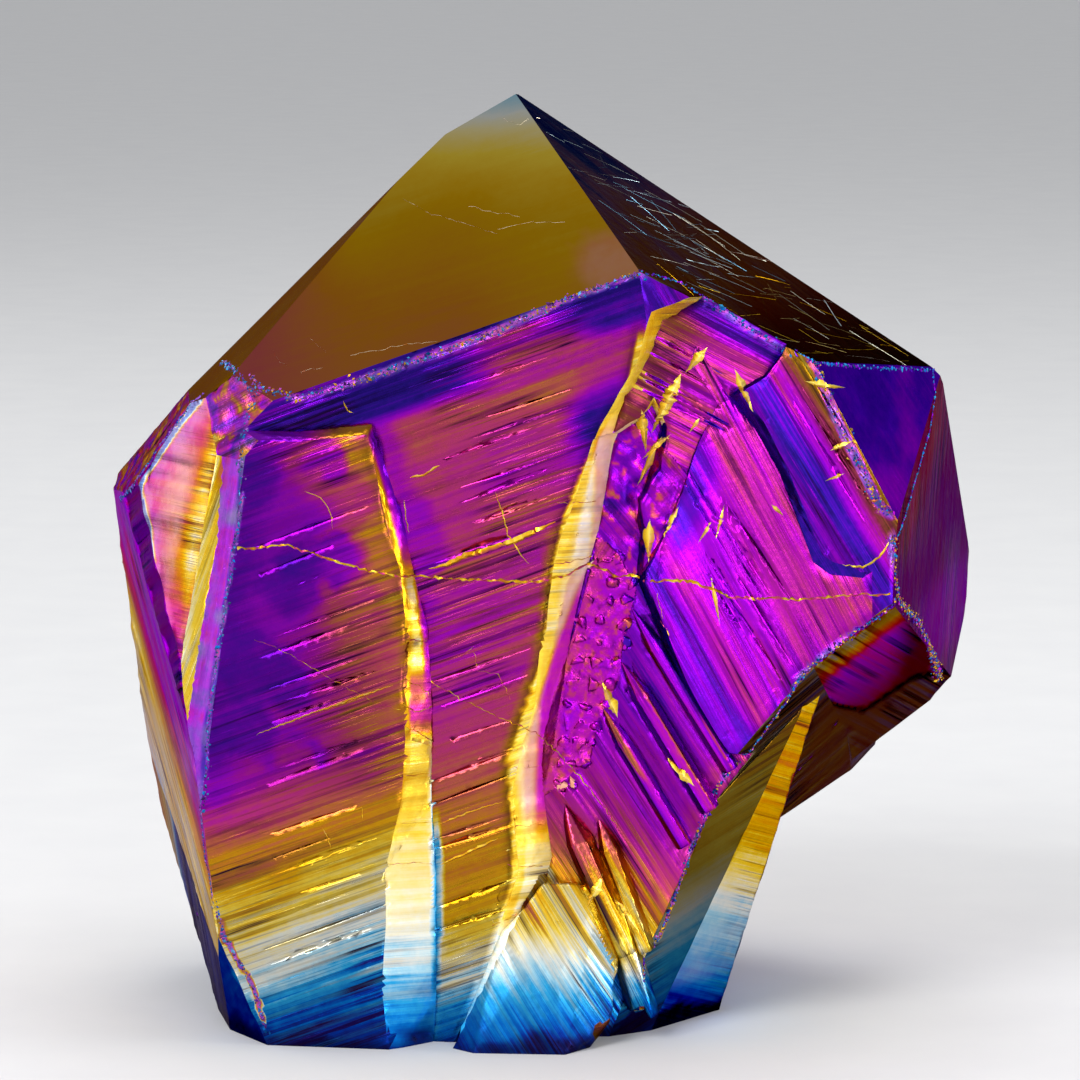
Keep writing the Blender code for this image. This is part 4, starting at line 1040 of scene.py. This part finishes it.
def paint_skin(skin):
    """Paint every facet, and the part of the second plate that belongs to its riser."""
    mesh = skin.data
    _, _, corners = face_facts(mesh)
    places = drawing_places(mesh)[corners.ravel()]
    part = np.repeat(part_numbers(mesh), 3)
    film = np.zeros(len(part))
    lines, finish, grit = np.zeros((3, len(part), 3))
    for number, name in enumerate(NAMES):
        chosen = part == number
        if not chosen.any():
            continue
        here, facts = places[chosen], LOOKS[name]
        same = np.ones(len(here))
        film[chosen], pale, dark = film_on(name, here)
        along, square = growth_lines(here, facts["side"], facts["lean"])
        lines[chosen] = np.stack((along, square, same * number * LINES_APART), 1)
        finish[chosen] = np.stack((pale, dark, same * facts["rough"]), 1)
        swing, matt = facts["swing"] * quiet_share(name, here), facts["matt"] * same
        if name == "second plate":
            share, riser = on_second_riser(here[:, 0], here[:, 2]), LOOKS["second riser"]
            swing, matt = towards(swing, riser["swing"], share), riser["matt"] * share
        grit[chosen] = np.stack((swing, same * facts["grain"], matt), 1)
    write_paint(mesh, film, lines, finish, grit)


# ---------------------------------------------------------------- what lies on the skin

VIEWER = -90        # well in front of the crystal
SUNK = 0.08         # how far the feet of a small ridge are sunk into the skin


class Surface:
    """The finished skin, to set small things on. Places are in the drawing's millimetres."""

    def __init__(self, skin):
        _, _, corners = face_facts(skin.data)
        self.tree = BVHTree.FromPolygons(drawing_places(skin.data).tolist(), corners.tolist())

    def under(self, place):
        """The skin's nearest place to this one, and its direction there."""
        spot, direction, _, _ = self.tree.find_nearest(Vector(place))
        return np.array(spot), np.array(direction)

    def from_front(self, x, z):
        """The place that someone in front sees at (across, up), and its direction."""
        spot, direction, _, _ = self.tree.ray_cast(Vector((x, VIEWER, z)), Vector((0, 1, 0)))
        return (None, None) if spot is None else (np.array(spot), np.array(direction))


class Heap:
    """Many small shapes gathered into one mesh, each vertex with its film, paleness and darkness."""

    def __init__(self):
        self.places, self.faces, self.paint = [], [], []

    def add(self, places, faces, paint):
        first = len(self.places)
        self.places += places
        self.faces += [tuple(first + corner for corner in face) for face in faces]
        self.paint += paint

    def ridge(self, spots, widths, heights, paint):
        """A raised strip with a crest. paint has three entries a spot: one side, the crest, the other."""
        rows = []
        for number, (place, direction) in enumerate(spots):
            ahead = spots[min(number + 1, len(spots) - 1)][0] - spots[max(number - 1, 0)][0]
            side = np.cross(ahead, direction)
            half = side / max(np.linalg.norm(side), 1e-6) * widths[number] / 2
            foot = place - direction * SUNK
            rows += [foot - half, place + direction * heights[number], foot + half]
        faces = []
        for low in range(0, 3 * len(spots) - 3, 3):
            faces += [(low, low + 1, low + 4), (low, low + 4, low + 3), (low + 1, low + 2, low + 5),
                      (low + 1, low + 5, low + 4), (low, low + 3, low + 5), (low, low + 5, low + 2)]
        self.add(rows, faces, paint)

    def make(self, name, rough, grain, matt=0):
        places = np.array(self.places)
        mesh = bpy.data.meshes.new(name)
        mesh.from_pydata(((places + DRAWING_ZERO) * MM).tolist(), [], self.faces)
        thing = bpy.data.objects.new(name, mesh)
        bpy.context.collection.objects.link(thing)
        corners = np.array(self.faces).ravel()
        film, pale, dark = np.array(self.paint)[corners].T
        finish = np.stack((pale, dark, np.full(len(corners), rough)), 1)
        grit = np.tile((0.0, grain, matt), (len(corners), 1))
        write_paint(mesh, film.copy(), places[corners], finish, grit)
        return thing


def follow(surface, line, gap, shake, chance):
    """Spots along a front line, each shaken a little, with the skin's direction."""
    spots = []
    for x, z in even_steps(line, gap):
        aside, above = chance.uniform(-shake, shake), chance.uniform(-shake, shake)
        place, direction = surface.from_front(x + aside, z + above)
        if place is not None:
            spots.append((place, direction))
    return spots


EIGHT_SIDES = [(0, 2, 4), (2, 1, 4), (1, 3, 4), (3, 0, 4), (2, 0, 5), (1, 2, 5), (3, 1, 5), (0, 3, 5)]


def seam_grains(surface):
    """Tiny eight-sided crystals of every colour crowded along the broken seams."""
    chance = random.Random(SEED)
    heap = Heap()
    for kind, width, line in SEAMS:
        for spot in even_steps(line, 0.16):
            for _ in range(GRAINS_PER_STEP[kind]):
                aside = np.array([chance.gauss(0, width * 0.30) for _ in range(3)])
                place, direction = surface.under(spot + aside)
                size = chance.uniform(0.07, 0.17) * (1.5 if chance.random() < 0.15 else 1.0)
                first = np.cross(direction, [chance.uniform(-1, 1) for _ in range(3)])
                first /= max(np.linalg.norm(first), 1e-6)
                second = np.cross(direction, first)
                long_way = size * chance.uniform(0.8, 2.0)
                points = [place + first * long_way, place - first * long_way, place + second * size,
                          place - second * size, place + direction * size * 0.9, place - direction * size]
                film, pale = chance.choice(SEAM_FILMS[kind])
                paint = (film + chance.uniform(-0.02, 0.02), pale, chance.uniform(0.1, 0.85))
                heap.add(points, EIGHT_SIDES, [paint] * len(points))
    return heap.make("seam_grains", 0.42, 0.1, 0.55)


def leaf_chips(surface):
    """Raised yellow flakes shaped like leaves, and the bright steps of the growth lines, each with painted
    shade on one side.
    """
    chance = random.Random(SEED + 1)
    heap = Heap()
    for tip, root, width, height in CHIPS:
        spots = follow(surface, [tip, root], 0.3, 0.04, chance)
        if len(spots) < 3:
            continue
        share = [number / (len(spots) - 1) for number in range(len(spots))]
        widths = [width * min(t / 0.35, (1 - t) / 0.65) * chance.uniform(0.85, 1.15) + 0.04 for t in share]
        heights = [height * math.sin(math.pi * t ** 1.3) * 0.8 for t in share]
        # painted shade: the last foot of each spot is a darker bronze
        heap.ridge(spots, widths, heights, [(0.41, 0, 0), (0.38, 0, 0), (0.47, 0, 0.45)] * len(spots))
    for width, height, line in LEDGE_LINES:
        spots = follow(surface, line, 0.4, 0.08, chance)
        count = len(spots)
        ends = [min(1, 0.3 + 4 * min(number, count - 1 - number) / count) for number in range(count)]
        paint = []
        for _ in spots:
            film = chance.uniform(0.38, 0.46)
            # painted shade: the last foot of each spot is a darker rose
            paint += [(film, 0, 0), (film, 0, 0), (0.62, 0, 0.6)]
        heap.ridge(spots, [width * end * chance.uniform(0.7, 1.2) for end in ends],
                   [height * end for end in ends], paint)
    return heap.make("leaf_chips", 0.3, 0.15, 0.45)


def crack_lines(surface):
    """Healed cracks: thin crooked ridges, with a painted highlight in gold above and a painted shadow below.
    """
    chance = random.Random(SEED + 2)
    heap = Heap()
    for width, line in CRACKS:
        spots = follow(surface, line, 0.45, 0.16, chance)
        run = []
        for spot in spots + [None]:
            if spot is not None and (not run or np.linalg.norm(spot[0] - run[-1][0]) < 1.3):
                run.append(spot)
                continue
            if len(run) > 2:
                paint = []
                for _ in run:
                    film = chance.choice((0.40, 0.46, 0.54, 0.66))
                    # painted light: one foot is dark as a painted shadow, and the crest and the other foot
                    # are lit gold as a painted highlight
                    paint += [(0.5, 0, 0.93), (film, 0, 0.15), (film, 0, 0.05)]
                heap.ridge(run, [width * chance.uniform(0.8, 2.2) for _ in run],
                           [width * chance.uniform(0.2, 0.6) for _ in run], paint)
            run = [spot] if spot is not None else []
    return heap.make("crack_lines", 0.3, 0.3, 0.4)


STROKES = 330           # tried on the dark face; those that would run over its edge are left out
BLUISH_ABOVE = 92       # the height from which they are bluish and not gold
DEEP_SCRATCH = [(33.4, -11, 89.2), (34.5, -12.5, 88.2), (35.5, -15, 86.8), (36.5, -17, 85.8)]


def scratches(surface):
    """Fine bright strokes on the two front faces of the point."""
    chance = random.Random(SEED + 3)
    heap = Heap()

    def stroke(places, width, film, pale, dark):
        spots = [surface.under(place) for place in places]
        paint = [(film, pale, dark)] * (3 * len(spots))
        heap.ridge(spots, [width * chance.uniform(0.5, 1.2) for _ in spots], [0.02] * len(spots), paint)

    for line in CAP_SCRATCHES:
        places = [place + np.array([chance.uniform(-0.15, 0.15) for _ in range(3)])
                  for place in even_steps(line, 0.6)]
        stroke(places, 0.14, 0.33, 0.4, 0.1)
    facing, tilt, distance = LOOKS["dark cap"]["facet"]
    way, level = outward(facing, tilt), outward(facing + RIGHT, 0)
    downhill = np.cross(way, level)
    middle = HEART + way * distance
    for _ in range(STROKES):
        start = middle + level * chance.uniform(-22, 22) + downhill * chance.uniform(-26, 24)
        lean = chance.gauss(-0.5, 0.35) if chance.random() < 0.75 else chance.uniform(-1.5, 1.5)
        along = level * math.cos(lean) + downhill * math.sin(lean)
        bend = np.cross(way, along) * chance.uniform(-0.06, 0.06)
        length = chance.uniform(1, 9)
        places = [start + along * step + bend * step * step * 0.3 for step in np.linspace(0, length, 7)]
        spots = [surface.under(place) for place in places]
        if all(np.linalg.norm(spot - place) < 0.3 and direction @ way > 0.97
               for (spot, direction), place in zip(spots, places)):
            films = (0.26, 0.22, 0.30) if places[0][2] > BLUISH_ABOVE else (0.30, 0.36, 0.42, 0.46)
            film = chance.choice(films)
            stroke(places, chance.uniform(0.04, 0.13), film, 0, chance.choice((0.1, 0.5, 0.7, 0.8)))
    stroke(DEEP_SCRATCH, 0.9, 0.27, 0, 0.3)
    return heap.make("scratches", 0.25, 0.1)


# ---------------------------------------------------------------- materials

class Value:
    """A shader socket that can be added, multiplied and so on, as a number can."""

    def __init__(self, nodes, socket):
        self.nodes, self.socket = nodes, socket

    def maths(self, operation, *others):
        return self.nodes.add("ShaderNodeMath", {"operation": operation}, (self,) + others)

    def __add__(self, other):
        return self.maths("ADD", other)

    def __sub__(self, other):
        return self.maths("SUBTRACT", other)

    def __mul__(self, other):
        return self.maths("MULTIPLY", other)

    def __truediv__(self, other):
        return self.maths("DIVIDE", other)

    def __pow__(self, other):
        return self.maths("POWER", other)

    def __rsub__(self, other):
        return self.nodes.add("ShaderNodeMath", {"operation": "SUBTRACT"}, (other, self))

    __radd__ = __add__
    __rmul__ = __mul__

    def between(self, low, high):
        """0 at low, 1 at high, and an easy curve between."""
        return self.nodes.add("ShaderNodeMapRange", {"interpolation_type": "SMOOTHSTEP"},
                              {"Value": self, "From Min": low, "From Max": high})


class Nodes:
    """The nodes of one material."""

    def __init__(self, name):
        self.material = bpy.data.materials.new(name)
        self.material.use_nodes = True
        self.tree = self.material.node_tree
        self.shader = self.tree.nodes["Principled BSDF"]

    def add(self, kind, settings=(), values=(), output=0):
        """Make a node, give it its settings and its sockets' values or links, and hand back one output."""
        node = self.tree.nodes.new(kind)
        for key, setting in dict(settings).items():
            if key == "stops":
                ramp = node.color_ramp
                while len(ramp.elements) < len(setting):
                    ramp.elements.new(0.5)
                for element, (place, color) in zip(ramp.elements, setting):
                    element.position = place
                    element.color = (*color, 1.0)
            else:
                setattr(node, key, setting)
        pairs = values.items() if isinstance(values, dict) else enumerate(values)
        for key, value in pairs:
            self.set(node.inputs[key], value)
        return Value(self, node.outputs[output])

    def set(self, socket, value):
        if isinstance(value, Value):
            self.tree.links.new(value.socket, socket)
        else:
            socket.default_value = value

    def noise(self, places, scale, detail, roughness):
        return self.add("ShaderNodeTexNoise", (),
                        {"Vector": places, "Scale": scale, "Detail": detail, "Roughness": roughness})

    def scaled(self, places, factors):
        return self.add("ShaderNodeVectorMath", {"operation": "MULTIPLY"}, (places, factors))

    def mix(self, share, first, second):
        """A share of the way from the first colour to the second: sockets 6 and 7 are the colours."""
        return self.add("ShaderNodeMix", {"data_type": "RGBA"}, {"Factor": share, 6: first, 7: second}, 2)

    def attribute(self, name, output=0):
        return self.add("ShaderNodeAttribute", {"attribute_name": name}, output=output)


# The rainbow that the film runs through as it grows thicker, darkest blue to darkest blue
RAINBOW = [
    (0, (0.01, 0.004, 0.1)), (0.06, (0.001, 0.04, 0.4)), (0.12, (0.001, 0.18, 0.64)),
    (0.18, (0.03, 0.43, 0.82)), (0.24, (0.42, 0.72, 0.86)), (0.29, (0.86, 0.88, 0.8)),
    (0.34, (0.96, 0.82, 0.4)), (0.4, (0.96, 0.68, 0.06)), (0.46, (0.82, 0.43, 0.003)),
    (0.52, (0.72, 0.26, 0.015)), (0.57, (0.68, 0.16, 0.08)), (0.62, (0.64, 0.07, 0.15)),
    (0.67, (0.64, 0.035, 0.3)), (0.73, (0.54, 0.008, 0.52)), (0.79, (0.43, 0.003, 0.76)),
    (0.85, (0.22, 0.002, 0.62)), (0.91, (0.08, 0.006, 0.5)), (0.96, (0.026, 0.008, 0.3)),
    (1, (0.015, 0.003, 0.09)),
]


def coating():
    """Thin metal film on quartz: rainbow by thickness, streaked along the growth lines."""
    n = Nodes("aura coating")
    film, lines = n.attribute("film", 2), n.attribute("lines", 1)
    finish = n.add("ShaderNodeSeparateXYZ", (), (n.attribute("finish", 1),)).socket.node
    pale, dark, rough = (Value(n, finish.outputs[i]) for i in range(3))
    grit = n.add("ShaderNodeSeparateXYZ", (), (n.attribute("grit", 1),)).socket.node
    swing, grain, matt = (Value(n, grit.outputs[i]) for i in range(3))
    where = n.add("ShaderNodeTexCoord", output=3)
    broad = n.noise(n.scaled(lines, (0.03, 0.16, 1.0)), 1.0, 3.0, 0.55)
    medium = n.noise(n.scaled(lines, (0.05, 0.8, 1.0)), 1.0, 3.0, 0.6)
    narrow = n.noise(n.scaled(lines, (0.07, 3.4, 1.7)), 1.0, 2.0, 0.6)
    hair = n.noise(n.scaled(lines, (0.10, 7.5, 2.3)), 1.0, 1.0, 0.5)
    crisp = n.noise(n.scaled(lines, (0.018, 1.3, 3.1)), 1.0, 1.0, 0.4)
    specks = n.noise(where, 900.0, 3.0, 0.65)
    cloud = n.noise(where, 130.0, 4.0, 0.6)
    crinkle = n.noise(where, 1700.0, 4.0, 0.7)
    ribbed = swing.between(0.02, 0.11)
    # bands with hard edges, and fine lines where the film is thinner
    bands = crisp.between(0.56, 0.60) - crisp.between(0.42, 0.38) * 0.7
    fine_lines = hair.between(0.60, 0.70) * 1.3 + narrow.between(0.60, 0.66)
    streak = ((broad - 0.5) * 1.6 + (medium - 0.5) * 1.8 + (narrow - 0.5) * 0.8
              - bands * 0.45 - fine_lines * 0.38)
    thickness = film + streak * swing + (cloud - 0.5) * grain * 0.2 + (specks - 0.5) * grain * 0.16
    rainbow = n.add("ShaderNodeValToRGB", {"stops": RAINBOW}, (thickness,))
    # painted shade in the grooves: darker where the bump lies low
    groove_shade = (narrow.between(0.46, 0.30) * 0.55 + medium.between(0.46, 0.30) * 0.5
               + crisp.between(0.43, 0.39) * 0.4) * ribbed
    color = n.mix(groove_shade, rainbow, (0.02, 0.002, 0.03, 1.0))
    color = n.mix(pale * (0.5 + cloud.between(0.35, 0.65) * 0.7), color, (0.95, 0.74, 0.72, 1.0))
    # dark draws the colour toward black: the stone's own dark together with painted shade and painted
    # reflection
    shaded = n.mix(dark, color, (0.002, 0.002, 0.003, 1.0))
    n.set(n.shader.inputs["Base Color"], shaded)
    n.set(n.shader.inputs["Metallic"], 1.0 - matt)
    n.shader.inputs["Specular IOR Level"].default_value = 0.2
    n.shader.inputs["Specular Tint"].default_value = (0.22, 0.12, 0.22, 1.0)
    n.set(n.shader.inputs["Roughness"], rough + (medium - 0.5) * 0.12 + (specks - 0.5) * grain * 0.25)
    height = ((medium - 0.5) * 2.0 + (narrow - 0.5) * 2.0 + bands * 0.3 + fine_lines * 0.2) * swing
    height = height + (specks - 0.5) * grain * 0.35 + (crinkle - 0.5) * grain * grain * 0.3
    bump = n.add("ShaderNodeBump", (), {"Strength": 0.6, "Distance": 0.0004, "Height": height})
    n.set(n.shader.inputs["Normal"], bump)
    return n.material


def floor_material():
    """Pale stone, a little uneven."""
    n = Nodes("pale floor")
    where = n.add("ShaderNodeTexCoord", output=3)
    fibre = n.noise(where, 60.0, 4.0, 0.6)
    n.set(n.shader.inputs["Base Color"], n.mix(fibre, (0.60, 0.60, 0.61, 1.0), (0.66, 0.66, 0.66, 1.0)))
    n.shader.inputs["Roughness"].default_value = 0.75
    return n.material


# ---------------------------------------------------------------- the scene

CAMERA_HEIGHT = 8.0         # degrees that the camera looks down
CAMERA_DISTANCE = 0.660
LENS, SENSOR = 117.333, 24.0
AIM = (DRAWING_ZERO + np.array((0.0, 0.0, 57.25))) * MM
LIT_PLACE = Vector((0.0, 0.0, 0.05))    # what the lamps are turned toward


def camera():
    """Look at the crystal from in front and a little above."""
    bpy.ops.object.camera_add()
    eye = bpy.context.object
    eye.data.lens, eye.data.sensor_width, eye.data.clip_end = LENS, SENSOR, 30.0
    tilt = math.radians(CAMERA_HEIGHT)
    eye.location = Vector(AIM) + CAMERA_DISTANCE * Vector((0.0, -math.cos(tilt), math.sin(tilt)))
    eye.rotation_euler = (Vector(AIM) - eye.location).to_track_quat("-Z", "Y").to_euler()
    bpy.context.scene.camera = eye


def lamp(name, place, size, power):
    """A square soft lamp turned toward the middle of the crystal."""
    bpy.ops.object.light_add(type="AREA", location=place)
    light = bpy.context.object
    light.name = name
    light.data.shape, light.data.size, light.data.energy = "SQUARE", size, power
    light.rotation_euler = (LIT_PLACE - light.location).to_track_quat("-Z", "Y").to_euler()


def studio():
    """A floor, five lamps and a plain pale room."""
    bpy.ops.mesh.primitive_plane_add(size=14.0, location=(0.0, 0.0, 0.0))
    ground = bpy.context.object
    ground.name = "floor"
    ground.data.materials.append(floor_material())
    lamp("key", (-0.50, -0.75, 0.75), 0.45, 8.0)
    lamp("front", (0.30, -0.95, 0.22), 0.30, 2.5)
    lamp("right", (0.95, -0.10, 0.16), 0.45, 6.0)
    lamp("left", (-0.80, 0.50, 0.20), 0.60, 2.5)
    lamp("top", (0.1, 0.2, 1.0), 0.6, 4.0)
    world = bpy.data.worlds.new("soft room")
    bpy.context.scene.world = world
    world.use_nodes = True
    world.node_tree.nodes["Background"].inputs["Color"].default_value = (0.84, 0.85, 0.87, 1.0)
    world.node_tree.nodes["Background"].inputs["Strength"].default_value = 0.75
    bpy.context.scene.view_settings.view_transform = "Standard"


def dress(piece):
    """Fix a piece to the crystal's body."""
    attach(piece, "root")


def main():
    """Dress the crystal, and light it."""
    skin = copy_of_node("crystal", "coated_crystal")
    name_faces(skin)
    split_long_edges(skin)
    name_faces(skin)
    raise_skin(skin)
    paint_skin(skin)
    crisp_edges(skin)
    surface = Surface(skin)
    film_metal = coating()
    for piece in (skin, seam_grains(surface), leaf_chips(surface), crack_lines(surface), scratches(surface)):
        piece.data.materials.clear()
        piece.data.materials.append(film_metal)
        dress(piece)
        print(piece.name, "triangles", len(piece.data.polygons))
    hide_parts("crystal")
    camera()
    studio()


main()
